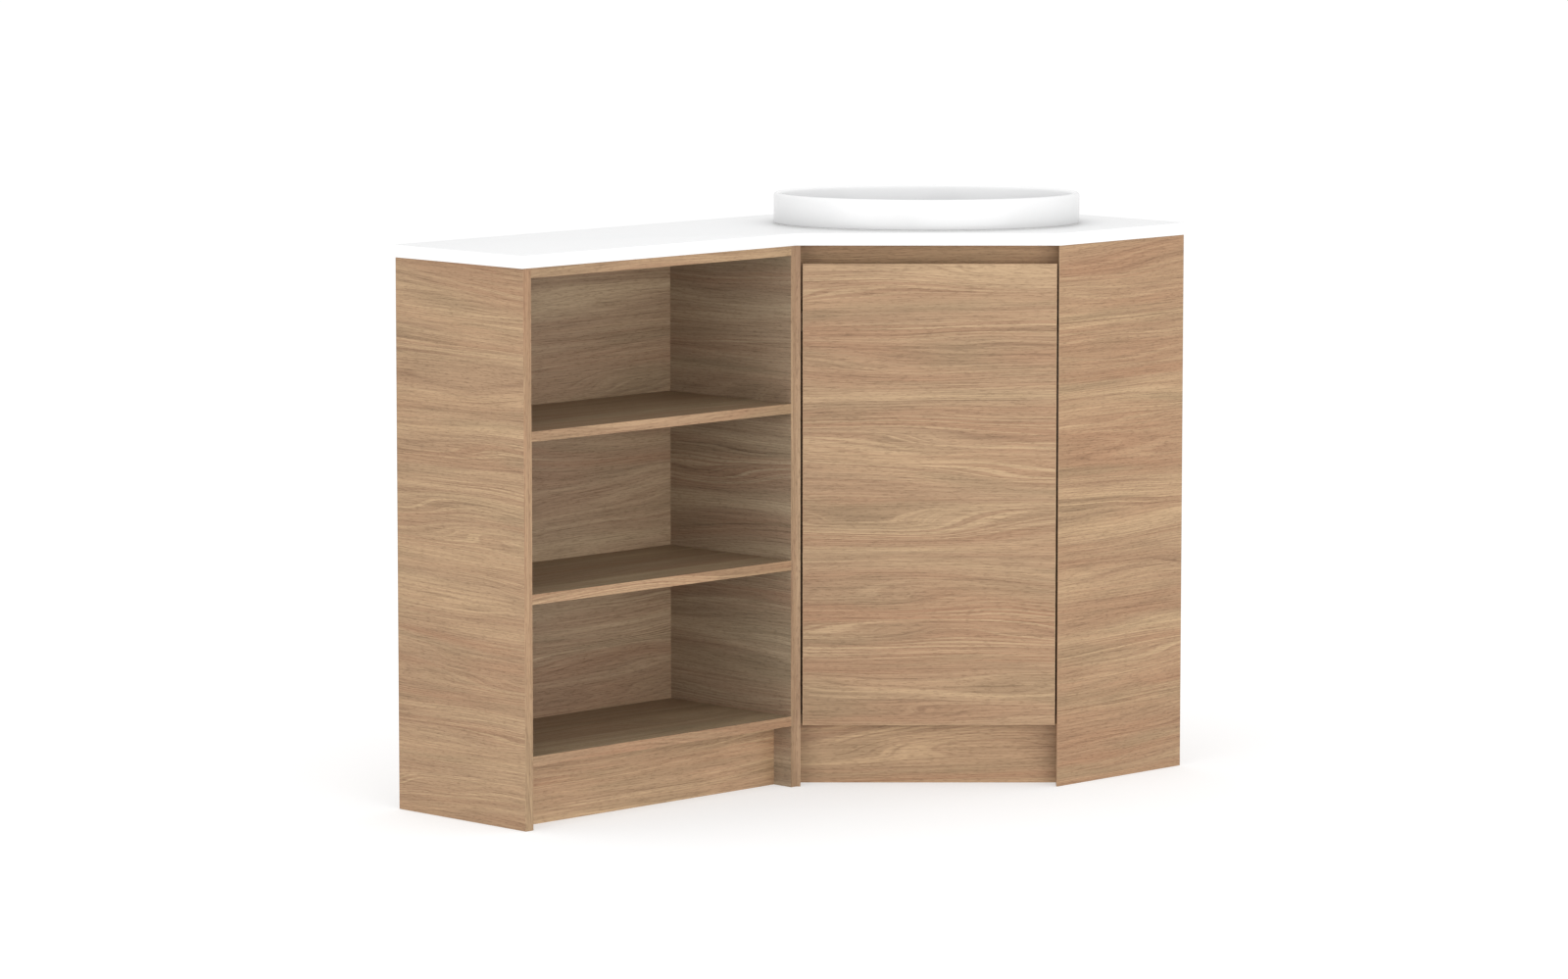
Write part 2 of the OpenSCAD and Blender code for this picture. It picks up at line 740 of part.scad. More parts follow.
// One ear of the cup, with the pin's hole
module hinge_ear(side) {
    z0 = side > 0 ? ear_gap : slot_clear - slot_h / 2;
    h = slot_h / 2 - slot_clear - ear_gap;
    translate([0, 0, z0]) difference() {
        union() {
            translate([pivot_s, pivot_n, 0]) cylinder(h = h, r = eye_r);
            translate([pivot_s - ear_l, door_back_n - cup_depth, 0]) cube([ear_l, 5, h]);
        }
        translate([pivot_s, pivot_n, -over]) cylinder(h = h + 2 * over, r = pin_r);
    }
}
module upper_hinge_cup() {
    hinge_cup(hinge_z[1]);
}
module lower_hinge_cup() {
    hinge_cup(hinge_z[0]);
}
module hinge_pins() {
    color(steel) diagonal() for (z = hinge_z)
        translate([pivot_s, pivot_n, z - slot_h / 2 + slot_clear])
            cylinder(h = slot_h - 2 * slot_clear, r = pin_r);
}
module cup_screws() {
    color(steel) diagonal() {
        cup_screw_shafts();
        for (z = hinge_z, dz = cup_screw_dz)
            translate([cup_s, door_back_n + flange_t, z + dz]) rotate([-90, 0, 0])
                cylinder(h = 1.5, r = head_r);
    }
}
// The strap's outline is mitred at the crank, so it is evenly thick
module arm_strap() {
    top = arm_y + arm_t / 2;
    low = arm_y - arm_t / 2;
    end_x = crank_xy[0] + arm_l;
    linear_extrude(arm_h) polygon([strap_root + strap_side, [crank_xy[0] - strap_mitre, top],
        [end_x, top], [end_x, low], [crank_xy[0] + strap_mitre, low], strap_root - strap_side]);
}
module hinge_arm(z) {
    color(steel) translate([0, 0, z - arm_h / 2]) difference() {
        union() {
            translate(pivot_xy) cylinder(h = arm_h, r = eye_r, $fn = eye_sides);
            arm_strap();
        }
        translate([pivot_xy[0], pivot_xy[1], -over])
            cylinder(h = arm_h + 2 * over, r = pin_r + pin_clear);
        translate([arm_screw_x, arm_y + arm_t, arm_h / 2]) rotate([90, 0, 0])
            cylinder(h = 2 * arm_t, r = screw_r);
    }
}
module upper_hinge_arm() {
    hinge_arm(hinge_z[1]);
}
module lower_hinge_arm() {
    hinge_arm(hinge_z[0]);
}
// Screws that hold the plates to the return's inner face, without their heads
module plate_screw_shafts() {
    for (z = hinge_z, dz = plate_screw_dz)
        translate([plate_screw_x, inner_return_y + wing_plate_t, z + dz]) rotate([90, 0, 0])
            cylinder(h = plate_screw_l, r = screw_r);
}
// Screws that hold the arms to the plates, without their heads
module arm_screw_shafts() {
    for (z = hinge_z)
        translate([arm_screw_x, arm_y + arm_t / 2, z]) rotate([90, 0, 0])
            cylinder(h = arm_screw_l, r = screw_r);
}
module hinge_plates() {
    color(steel) difference() {
        for (z = hinge_z) {
            block([plate_x, inner_return_y, z - plate_h / 2],
                [plate_x + plate_l, plate_top_y, z + plate_h / 2]);
            block([wing_plate_x, inner_return_y, z - wing_plate_h / 2],
                [wing_plate_x + wing_plate_w, inner_return_y + wing_plate_t, z + wing_plate_h / 2]);
        }
        plate_screw_shafts();
        arm_screw_shafts();
    }
}
module plate_screws() {
    color(steel) {
        plate_screw_shafts();
        for (z = hinge_z, dz = plate_screw_dz)
            translate([plate_screw_x, inner_return_y + wing_plate_t + 2, z + dz]) rotate([90, 0, 0])
                cylinder(h = 2, r = head_r);
    }
}
module arm_screws() {
    color(steel) {
        arm_screw_shafts();
        for (z = hinge_z)
            translate([arm_screw_x, plate_top_y + arm_t + 2, z]) rotate([90, 0, 0])
                cylinder(h = 2, r = head_r);
    }
}

left_end_panel();
left_end_edge_band();
wing_divider();
divider_edge_band();
wing_top_panel();
upper_shelf();
lower_shelf();
wing_bottom_panel();
shelf_edge_bands();
wing_back_panel();
wing_kickboard();
return_end_panel();
return_edge_band();
corner_floor_panel();
corner_back_panel();
corner_side_panel();
corner_kickboard();
finger_rail();
rear_stretcher();
side_stretcher();
door_stop_block();
glue_blocks();
wooden_dowels();
cam_locks();
cam_bolts();
case_screws();
worktop_screws();
worktop();
basin();
basin_sealant();
waste_body();
waste_guide();
waste_top_seal();
waste_washer();
waste_back_nut();
plug();
plug_seal();
door_panel();
door_edge_bands();
door_bumpers();
upper_hinge_cup();
lower_hinge_cup();
hinge_pins();
cup_screws();
upper_hinge_arm();
lower_hinge_arm();
hinge_plates();
plate_screws();
arm_screws();
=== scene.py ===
"""Looks of the corner vanity unit: boards, worktop, basin, waste and fittings.

Everything stands in the frame of the drawing: X along the long wall, Y towards it, Z up,
in metres. Classes that say so hold millimetres, which become metres with each mesh. The
front of the cupboard stands at 45 degrees to both walls.
"""

import logging
import math
from collections.abc import Sequence
from dataclasses import dataclass
from enum import Enum
from functools import reduce

import bmesh
import bpy
import numpy as np
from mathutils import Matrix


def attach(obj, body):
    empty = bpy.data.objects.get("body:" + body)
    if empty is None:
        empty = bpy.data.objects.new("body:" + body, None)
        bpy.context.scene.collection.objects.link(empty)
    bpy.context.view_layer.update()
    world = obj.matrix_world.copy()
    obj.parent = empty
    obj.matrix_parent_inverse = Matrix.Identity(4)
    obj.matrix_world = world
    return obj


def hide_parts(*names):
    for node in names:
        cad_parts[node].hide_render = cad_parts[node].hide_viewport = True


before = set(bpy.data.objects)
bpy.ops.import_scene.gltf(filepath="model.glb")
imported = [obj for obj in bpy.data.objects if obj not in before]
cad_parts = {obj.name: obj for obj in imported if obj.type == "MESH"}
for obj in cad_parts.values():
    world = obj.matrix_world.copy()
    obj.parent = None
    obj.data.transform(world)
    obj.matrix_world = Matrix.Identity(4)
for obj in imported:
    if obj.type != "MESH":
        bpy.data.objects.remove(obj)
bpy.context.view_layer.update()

LOG = logging.getLogger("corner_vanity")
MM = 0.001
TURN = 2.0 * math.pi
QUARTER = math.pi / 2.0
ROOT_TWO = math.sqrt(2.0)
DIAGONAL = 45.0
MERGE = 1e-7
STRAIGHT = np.eye(3)
SIDEWAYS = np.roll(STRAIGHT, -1, axis=0)
WHITE = (1.0, 1.0, 1.0, 1.0)
BODY = "vanity_body"
DOOR = "cupboard_door"
PLUG = "basin_plug"
# The colour mixer's inputs for its share and its two colours, and its output.
MIXER_INPUTS = (0, 6, 7)
MIXER_RESULT = 2

Pair = tuple[float, float]
Triple = tuple[float, float, float]
Colour = Triple
Rgba = tuple[float, float, float, float]
Node = bpy.types.Node
Socket = bpy.types.NodeSocket
Material = bpy.types.Material
Piece = bpy.types.Object


# ---- helpers


def linear(colour: Colour) -> Rgba:
    """Turn a display colour into scene light with alpha 1: ((c + 0.055) / 1.055) ** 2.4."""
    red, green, blue = (((c + 0.055) / 1.055) ** 2.4 for c in colour)
    return (red, green, blue, 1.0)


def on_diagonal(along: np.ndarray | float, inwards: np.ndarray | float) -> np.ndarray:
    """Find x and y from distances along the diagonal front and inwards: (s + t, t - s) / sqrt 2."""
    sides = np.broadcast_arrays((along + inwards) / ROOT_TWO, (inwards - along) / ROOT_TWO)
    return np.stack(sides, axis=-1)


def all_round(count: int) -> np.ndarray:
    """Give evenly spaced angles round one turn."""
    return np.arange(count) * TURN / count


def revolved(radius: np.ndarray, height: np.ndarray, angle: np.ndarray) -> np.ndarray:
    """Turn radii and heights (n, 1 or m) about the Z axis, ring by ring: (r cos t, r sin t, z)."""
    axes = np.broadcast_arrays(radius * np.cos(angle), radius * np.sin(angle), height)
    return np.stack(axes, axis=-1).reshape(-1, 3)


def ovals(rings: np.ndarray, centre: Pair, sides: int) -> np.ndarray:
    """Stack level ellipses whose long axes lie along the diagonal front.

    Point (i, j) is at along = a_i cos t_j, inwards = b_i sin t_j from the centre.

    Args:
        rings: array (n, 3) of half length a, half width b and height.
        centre: x and y of their middle.
        sides: points on each ring.

    Returns:
        Array (n * sides, 3).
    """
    angle = all_round(sides)
    plan = on_diagonal(rings[:, 0:1] * np.cos(angle), rings[:, 1:2] * np.sin(angle)) + centre
    level = np.broadcast_to(rings[:, 2:3], plan.shape[:2])
    return np.concatenate([plan, level[..., None]], axis=2).reshape(-1, 3)


class Weave:
    """A small writer of shader nodes for one material."""

    def __init__(self, name: str) -> None:
        """Start a material that has a surface shader and nothing on it.

        Args:
            name: the material's name.
        """
        self.material: Material = bpy.data.materials.new(name)
        self.material.use_nodes = True
        self.tree = self.material.node_tree
        self.tree.nodes.clear()
        self.shader = self.node("BsdfPrincipled")
        self.node("OutputMaterial", {"Surface": self.shader.outputs["BSDF"]})
        self.place: Socket = self.node("TexCoord").outputs["Object"]

    def give(self, socket: Socket, source: object) -> None:
        """Link an input to another node, or set the value that it holds.

        Args:
            socket: the input.
            source: an output to link, or a value.
        """
        if isinstance(source, bpy.types.NodeSocket):
            self.tree.links.new(source, socket)
        else:
            socket.default_value = source

    def node(self, kind: str, sources: dict[str | int, object] | None = None, **settings: object) -> Node:
        """Add a node, set its own properties and fill its inputs.

        Args:
            kind: the node's type, without the words that every type starts with.
            sources: what each input takes, by name or number.
            **settings: the node's own properties.

        Returns:
            The new node.
        """
        made = self.tree.nodes.new(f"ShaderNode{kind}")
        for key, value in settings.items():
            setattr(made, key, value)
        for key, source in (sources or {}).items():
            self.give(made.inputs[key], source)
        return made

    def sums(self, operation: str, *terms: Socket | float) -> Socket:
        """Work out one sum of numbers."""
        return self.node("Math", dict(enumerate(terms)), operation=operation).outputs[0]

    def total(self, *terms: Socket | float) -> Socket:
        """Add numbers up, from the left."""
        return reduce(lambda first, second: self.sums("ADD", first, second), terms)

    def times(self, *terms: Socket | float) -> Socket:
        """Multiply numbers, from the left."""
        return reduce(lambda first, second: self.sums("MULTIPLY", first, second), terms)

    def noise(self, vector: Socket, scale: float, detail: float, rough: float) -> Socket:
        """Read smooth noise at a vector."""
        sources = {"Vector": vector, "Scale": scale, "Detail": detail, "Roughness": rough}
        return self.node("TexNoise", sources).outputs["Fac"]

    def ramp(self, source: Socket, *stops: tuple[float, float | Rgba]) -> Socket:
        """Turn a number into a colour by stops.

        Args:
            source: the number.
            *stops: each stop's place, and its colour or one number for all three channels.

        Returns:
            The colour.
        """
        node = self.node("ValToRGB", {"Fac": source})
        band = node.color_ramp
        while len(band.elements) < len(stops):
            band.elements.new(0.5)
        for element, (place, colour) in zip(band.elements, stops):
            element.position = place
            element.color = (colour, colour, colour, 1.0) if isinstance(colour, float) else colour
        return node.outputs["Color"]

    def mix(self, share: Socket | float, first: object, second: object, how: str = "MIX") -> Socket:
        """Blend two colours."""
        sources = dict(zip(MIXER_INPUTS, (share, first, second)))
        return self.node("Mix", sources, data_type="RGBA", blend_type=how).outputs[MIXER_RESULT]

    def split(self, vector: Socket, turn: float, shift: Triple = (0.0,) * 3) -> bpy.types.bpy_prop_collection:
        """Turn a vector about Z by degrees, shift it and give its X, Y and Z."""
        sources = {"Vector": vector, "Rotation": (0.0, 0.0, math.radians(turn)), "Location": shift}
        return self.node("SeparateXYZ", {"Vector": self.node("Mapping", sources).outputs[0]}).outputs

    def surface(self, **sources: object) -> None:
        """Fill the shader's own inputs, named with _ for a space."""
        for key, source in sources.items():
            self.give(self.shader.inputs[key.replace("_", " ")], source)

    def bump(self, height: Socket, strength: float, distance: float) -> None:
        """Raise the surface by a height, in metres at full strength."""
        node = self.node("Bump", {"Height": height, "Strength": strength, "Distance": distance})
        self.surface(Normal=node.outputs["Normal"])


# ---- finishes


class Grain(Enum):
    """Which way a board's grain runs, as (along, across, through) and a turn in degrees."""

    PANEL_X = ("X", "Z", "Y", 0.0)
    PANEL_Y = ("Y", "Z", "X", 0.0)
    PANEL_DIAGONAL = ("X", "Z", "Y", DIAGONAL)
    SHELF_X = ("X", "Y", "Z", 0.0)
    UPRIGHT_X = ("Z", "X", "Y", 0.0)
    UPRIGHT_DIAGONAL = ("Z", "X", "Y", DIAGONAL)


class PaintedLight(Enum):
    """Painted light and shade for each board, as a factor for each channel: kicks, rail and return are
    painted lighter, and the divider, its band, the shelves and the back inside the wing are painted darker
    and greyer, where shade falls.
    """

    USUAL = (1.0, 1.0, 1.0)
    LEFT = (0.975, 0.973, 0.967)
    BACK = (0.985, 1.022, 1.070)
    DIVIDER = (0.930, 0.985, 1.055)
    DIVIDER_BAND = (0.936, 0.931, 0.935)
    SHELF = (0.895, 0.945, 0.980)
    KICK = (1.050, 1.055, 1.060)
    CORNER_KICK = (1.002, 0.997, 0.993)
    RAIL = (1.050, 1.025, 0.995)
    DOOR = (0.985, 0.985, 0.985)
    RETURN = (1.024, 1.021, 1.013)


class Figure(Enum):
    """Noises of the veneer, as steps a metre (along, across, through), detail and roughness."""

    PATCH = ((2.4, 7.5, 3.0), 0.0, 0.5)
    BEND = ((1.7, 13.0, 3.0), 1.0, 0.40)
    SHIVER = ((9.0, 48.0, 9.0), 2.0, 0.5)
    SWIRL = ((5.0, 26.0, 6.0), 0.0, 0.5)
    TONE = ((0.9, 24.0, 2.0), 3.0, 0.5)
    BLUSH = ((1.8, 13.0, 4.0), 2.0, 0.5)
    MOSS = ((3.1, 27.0, 5.0), 2.0, 0.5)
    LINES = ((2.2, 190.0, 6.0), 5.0, 0.66)
    COMB = ((1.6, 400.0, 6.0), 2.0, 0.6)
    GROUP = ((1.1, 21.0, 3.0), 1.0, 0.5)
    FLAME = ((0.9, 8.0, 3.0), 1.0, 0.5)
    STREAK = ((11.0, 600.0, 12.0), 3.0, 0.7)
    PORE = ((85.0, 620.0, 60.0), 1.0, 0.6)


class Veneer(Weave):
    """A writer that reads noise along the grain of one board."""

    def __init__(self, name: str, grain: Grain, cut: int) -> None:
        """Start a material and find the three ways of its grain.

        Args:
            name: the material's name.
            grain: which way the grain runs.
            cut: number of the board, which picks another stretch of veneer.
        """
        super().__init__(name)
        along, across, through, turn = grain.value
        shift = (0.613 * cut % 7.0, 0.377 * cut % 5.0, 0.219 * cut % 3.0)
        parts = self.split(self.place, turn, shift)
        self.run, self.width, self.depth = (parts[key] for key in (along, across, through))

    def read(self, line: Socket, figure: Figure) -> Socket:
        """Read a noise at (run, line, depth), each times its own steps a metre.

        Args:
            line: what is read across the grain: the width, or a bent line.
            figure: which noise.

        Returns:
            A number from 0 to 1.
        """
        steps, detail, rough = figure.value
        joined = self.node("CombineXYZ", {"X": self.run, "Y": line, "Z": self.depth})
        sized = self.node("VectorMath", {0: joined.outputs[0], 1: steps}, operation="MULTIPLY")
        return self.noise(sized.outputs[0], 1.0, detail, rough)

    def swing(self, figure: Figure, *reach: Socket | float) -> Socket:
        """Let a noise swing about 0: (noise - 1/2) times every reach."""
        return self.times(self.sums("SUBTRACT", self.read(self.width, figure), 0.5), *reach)


@dataclass(frozen=True)
class OakLaminate:
    """Light oak laminate: bent figure lines, growth rings, broad tones and fine pores."""

    body: Colour = (0.642, 0.524, 0.407)
    pale: Colour = (0.728, 0.613, 0.478)
    pink: Colour = (0.634, 0.492, 0.376)
    olive: Colour = (0.586, 0.491, 0.374)
    line: Colour = (0.465, 0.345, 0.257)
    shade: Colour = (0.425, 0.345, 0.260)
    slant: float = 0.35
    wander: float = 0.110
    curl: float = 0.006
    shiver: float = 0.0030
    fibre_bend: float = 0.2
    rings: float = 185.0
    ring_drift: float = 0.016
    relief: float = 0.00012

    def dress(self, name: str, grain: Grain, cut: int, painted_light: PaintedLight = PaintedLight.USUAL) -> Material:
        """Make the laminate for one board.

        The figure is read at (along, f, through), where f = across + slant * through +
        shiver + bend + curl, and each of the last three is a noise that swings about 0.
        Lines of equal f wave, and close into long loops where the bend is steep, as in
        plain-sawn oak. Growth rings are dark where frac(rings * (f + drift * tone)) is near
        0 or 1. Streaks and pores are read on a straighter line, with a share of the bend.

        Args:
            name: the material's name.
            grain: which way the board's grain runs.
            cut: number of the board, which picks another stretch of veneer.
            painted_light: factors for each channel that paint light and shade on this board.

        Returns:
            The finished material.
        """
        weave = Veneer(name, grain, cut)
        patch = weave.ramp(weave.read(weave.width, Figure.PATCH), (0.42, 0.25), (0.60, 1.0))
        bend = weave.swing(Figure.BEND, self.wander)
        slanted = weave.times(weave.depth, self.slant)
        flat = weave.total(weave.width, slanted, weave.swing(Figure.SHIVER, self.shiver))
        fibre = weave.total(flat, weave.times(bend, self.fibre_bend))
        level = weave.total(flat, bend, weave.swing(Figure.SWIRL, patch, self.curl))
        streak, pore = (weave.read(fibre, figure) for figure in (Figure.STREAK, Figure.PORE))
        lines = weave.read(level, Figure.LINES)
        tone = weave.read(level, Figure.TONE)
        ring = weave.times(weave.total(level, weave.times(tone, self.ring_drift)), self.rings)

        # Painted light and shade: each colour is scaled by the board's factors, lighter or darker by how
        # light falls on it.
        body, pale, pink, olive, line, shade = (
            linear(tuple(c * factor for c, factor in zip(colour, painted_light.value)))
            for colour in (self.body, self.pale, self.pink, self.olive, self.line, self.shade)
        )
        colour = weave.ramp(tone, (0.32, pink), (0.50, body), (0.68, pale))
        blush = weave.ramp(weave.read(level, Figure.BLUSH), (0.40, 0.0), (0.66, 0.60))
        green = weave.ramp(weave.read(level, Figure.MOSS), (0.50, 0.0), (0.68, 0.60))
        force = weave.ramp(weave.read(level, Figure.FLAME), (0.38, 0.30), (0.62, 1.0))
        ink = weave.ramp(lines, (0.28, 0.72), (0.39, 0.20), (0.48, 0.0))
        edge = weave.ramp(weave.sums("FRACT", ring), (0.0, 0.30), (0.40, 0.0), (0.90, 0.0), (1.0, 0.30))
        glow = weave.ramp(lines, (0.53, 0.0), (0.70, 0.50))
        comb = weave.ramp(weave.read(level, Figure.COMB), (0.51, 0.0), (0.60, 1.0))
        group = weave.ramp(weave.read(level, Figure.GROUP), (0.46, 0.0), (0.62, 0.80))
        dark = weave.mix(green, line, shade)
        layers = (
            (blush, pink),
            (green, olive),
            (weave.times(ink, force), dark),
            (weave.times(edge, patch), dark),
            (glow, pale),
            (weave.times(comb, group), pale),
        )
        for share, layer in layers:
            colour = weave.mix(share, colour, layer)
        deep, high, hole = (0.68, 0.66, 0.63, 1.0), (1.16, 1.16, 1.17, 1.0), (0.79, 0.77, 0.75, 1.0)
        fine = weave.ramp(streak, (0.28, deep), (0.50, 1.0), (0.74, high))
        dots = weave.ramp(pore, (0.32, hole), (0.47, 1.0))
        for layer in (fine, dots):
            colour = weave.mix(1.0, colour, layer, "MULTIPLY")
        sheen = weave.ramp(lines, (0.3, 0.60), (0.7, 0.47))
        weave.surface(Base_Color=colour, Roughness=sheen, Specular_IOR_Level=0.32)
        weave.bump(weave.total(streak, weave.times(pore, 0.6)), 0.25, self.relief)
        return weave.material


@dataclass(frozen=True)
class PlainFinish:
    """A finish with one main colour, fine mottling, its own gloss and, where recess is set, painted shade."""

    name: str
    colour: Colour
    dim: Colour
    roughness: float
    spread: float = 0.05
    metallic: float = 0.0
    coat: float = 0.0
    coat_roughness: float = 0.06
    grain_scale: float = 300.0
    cloud_scale: float = 6.0
    stretch: Triple = (1.0, 1.0, 1.0)
    relief: float = 0.00005
    relief_strength: float = 0.15
    # Painted shade: up to this share darker where other surfaces stand within the reach.
    recess: float = 0.0
    reach: float = 0.1
    specular: float = 0.5
    glow: float = 0.0

    def dress(self) -> Material:
        """Make the material: mottled colour, uneven gloss and a fine relief.

        Where other surfaces stand within the reach, the colour is darker by up to the share
        recess: painted shade from an ambient occlusion node.

        Returns:
            The finished material.
        """
        weave = Weave(self.name)
        mapped = weave.node("Mapping", {"Vector": weave.place, "Scale": self.stretch}).outputs[0]
        grit = weave.noise(mapped, self.grain_scale, 3.0, 0.55)
        cloud = weave.noise(mapped, self.cloud_scale, 3.0, 0.5)
        mottle = weave.times(weave.total(grit, cloud), 0.5)
        colour = weave.ramp(mottle, (0.35, linear(self.dim)), (0.62, linear(self.colour)))
        # A finish for a bowl paints light and shade inside it here.
        colour = self._painted_bowl_shade(weave, colour)
        # Painted shade: an ambient occlusion node darkens the colour where other surfaces stand near.
        if self.recess > 0.0:
            corner = weave.node("AmbientOcclusion", {"Distance": self.reach}, samples=8)
            soft = weave.ramp(corner.outputs["AO"], (0.5, 1.0 - self.recess), (0.95, 1.0))
            colour = weave.mix(1.0, colour, soft, "MULTIPLY")
        low, high = self.roughness - self.spread, self.roughness + self.spread
        weave.surface(Base_Color=colour, Roughness=weave.ramp(cloud, (0.3, low), (0.7, high)))
        weave.surface(Metallic=self.metallic, Coat_Weight=self.coat, Coat_Roughness=self.coat_roughness)
        weave.surface(Specular_IOR_Level=self.specular, Emission_Color=WHITE, Emission_Strength=self.glow)
        weave.bump(grit, self.relief_strength, self.relief)
        return weave.material

    def _painted_bowl_shade(self, weave: Weave, colour: Socket) -> Socket:
        """Leave the colour as it is; a finish for a bowl paints light and shade inside it."""
        return colour


@dataclass(frozen=True)
class ShadedBowlGlaze(PlainFinish):
    """A glaze with painted light and shade down the inside of an oval bowl: lighter at the rim and darker
    lower down, where shade falls.
    """

    centre: Pair = (0.300, 0.0)
    half: Pair = (0.2445, 0.1645)
    rim: float = 0.948
    fade: float = 0.024
    # Painted light and shade in the bowl: the colour at the rim and the darker colour deep down.
    upper: Colour = (0.955, 0.955, 0.955)
    lower: Colour = (0.858, 0.859, 0.861)

    def _painted_bowl_shade(self, weave: Weave, colour: Socket) -> Socket:
        """Paint light and shade inside the bowl.

        A point is inside where (along / a) ** 2 + (inwards / b) ** 2 < 1, measured from the
        There the colour is painted light and shade: it runs from the lighter upper one at the rim
        to the darker lower one at the depth fade below it.

        Args:
            weave: the material's writer.
            colour: the colour outside the bowl.

        Returns:
            The colour of the whole piece.
        """
        centred = weave.node("VectorMath", {0: weave.place, 1: (*self.centre, 0.0)}, operation="SUBTRACT")
        parts = weave.split(centred.outputs[0], DIAGONAL)
        ratios = [weave.sums("DIVIDE", parts[key], size) for key, size in zip("XY", self.half)]
        shares = [weave.sums("POWER", weave.sums("ABSOLUTE", ratio), 2.0) for ratio in ratios]
        within = weave.sums("LESS_THAN", weave.total(*shares), 1.0)
        depth = weave.sums("DIVIDE", weave.sums("SUBTRACT", self.rim, parts["Z"]), self.fade)
        inner = weave.ramp(depth, (0.0, linear(self.upper)), (1.0, linear(self.lower)))
        return weave.mix(within, colour, inner)


# The worktop and the basin's glaze get painted shade: darker where other surfaces stand near, round the basin
# and at its foot.
WHITE_BOARD = PlainFinish(
    "worktop_white", (0.934,) * 3, (0.928, 0.929, 0.930), 0.42, relief=0.00002, recess=0.30, reach=0.20
)
WHITE_GLAZE = ShadedBowlGlaze(
    "basin_glaze", (0.908,) * 3, (0.901, 0.902, 0.903), 0.30, 0.03,
    coat=0.1, grain_scale=45.0, relief=0.00003, recess=0.20, reach=0.05,
)
SILICONE = PlainFinish("white_silicone", (0.96, 0.96, 0.955), (0.93, 0.93, 0.925), 0.34)
CHROME = PlainFinish(
    "polished_chrome", (0.84, 0.84, 0.85), (0.80, 0.80, 0.82), 0.08, 0.03, metallic=1.0, relief=0.00001
)
STEEL = PlainFinish(
    "plated_steel", (0.74, 0.75, 0.77), (0.62, 0.63, 0.66), 0.30, 0.08,
    metallic=1.0, stretch=(1.0, 1.0, 14.0), relief=0.00002,
)
BLACK_RUBBER = PlainFinish("black_rubber", (0.075, 0.075, 0.078), (0.045, 0.045, 0.047), 0.72, relief=0.00008)
GREY_BUMPER = PlainFinish("grey_bumper", (0.74, 0.74, 0.73), (0.66, 0.66, 0.65), 0.38)
BARE_BEECH = PlainFinish(
    "bare_beech", (0.82, 0.70, 0.53), (0.72, 0.59, 0.43), 0.62, grain_scale=420.0, stretch=(0.12, 1.0, 1.0)
)
PALE_FLOOR = PlainFinish(
    "pale_floor", (0.800,) * 3, (0.796,) * 3, 0.9, relief_strength=0.0, specular=0.0, glow=0.45
)


# ---- surfaces


def linked(made: Piece) -> Piece:
    """Link a new object to the scene and give it back."""
    bpy.context.scene.collection.objects.link(made)
    return made


def rectangle(left: float, right: float, near: float, far: float) -> np.ndarray:
    """Give a rectangle's corners, anticlockwise from (left, near)."""
    return np.array([[left, near], [right, near], [right, far], [left, far]])


def rounded(outline: np.ndarray, radii: Sequence[float], steps: int = 5) -> np.ndarray:
    """Round the corners of an outline.

    At a corner C with unit directions u and v to its neighbours, the curve is the
    quadratic (1-t)^2 (C + r u) + 2 t (1-t) C + t^2 (C + r v), for t from 0 to 1.

    Args:
        outline: array (n, 2) of corners.
        radii: how far from each corner its curve starts; 0 keeps it sharp.
        steps: points on each curve.

    Returns:
        Array (n * steps, 2) of points.
    """
    reach = np.asarray(radii, dtype=float)[:, None]
    ways = [np.roll(outline, step, axis=0) - outline for step in (1, -1)]
    before, after = (way / np.linalg.norm(way, axis=1, keepdims=True) * reach for way in ways)
    t = np.linspace(0.0, 1.0, steps)[None, :, None]
    start, corner, end = (outline + before)[:, None, :], outline[:, None, :], (outline + after)[:, None, :]
    return ((1 - t) ** 2 * start + 2 * t * (1 - t) * corner + t**2 * end).reshape(-1, 2)


def grid(rows: int, columns: int, loop: bool = False, start: int = 0) -> np.ndarray:
    """Number the faces of a stack of closed rings of points.

    Face (i, j) joins points (i, j), (i, j + 1), (i + 1, j + 1) and (i + 1, j).

    Args:
        rows: number of rings.
        columns: points on each ring.
        loop: whether the last ring joins the first.
        start: number of the first point.

    Returns:
        Array (m, 4) of point numbers.
    """
    down = np.arange(rows if loop else rows - 1)[:, None]
    over = np.arange(columns)[None, :]
    near, far, beside = down * columns, (down + 1) % rows * columns, (over + 1) % columns
    corners = np.broadcast_arrays(near + over, near + beside, far + beside, far + over)
    return start + np.stack(corners, axis=-1).reshape(-1, 4)


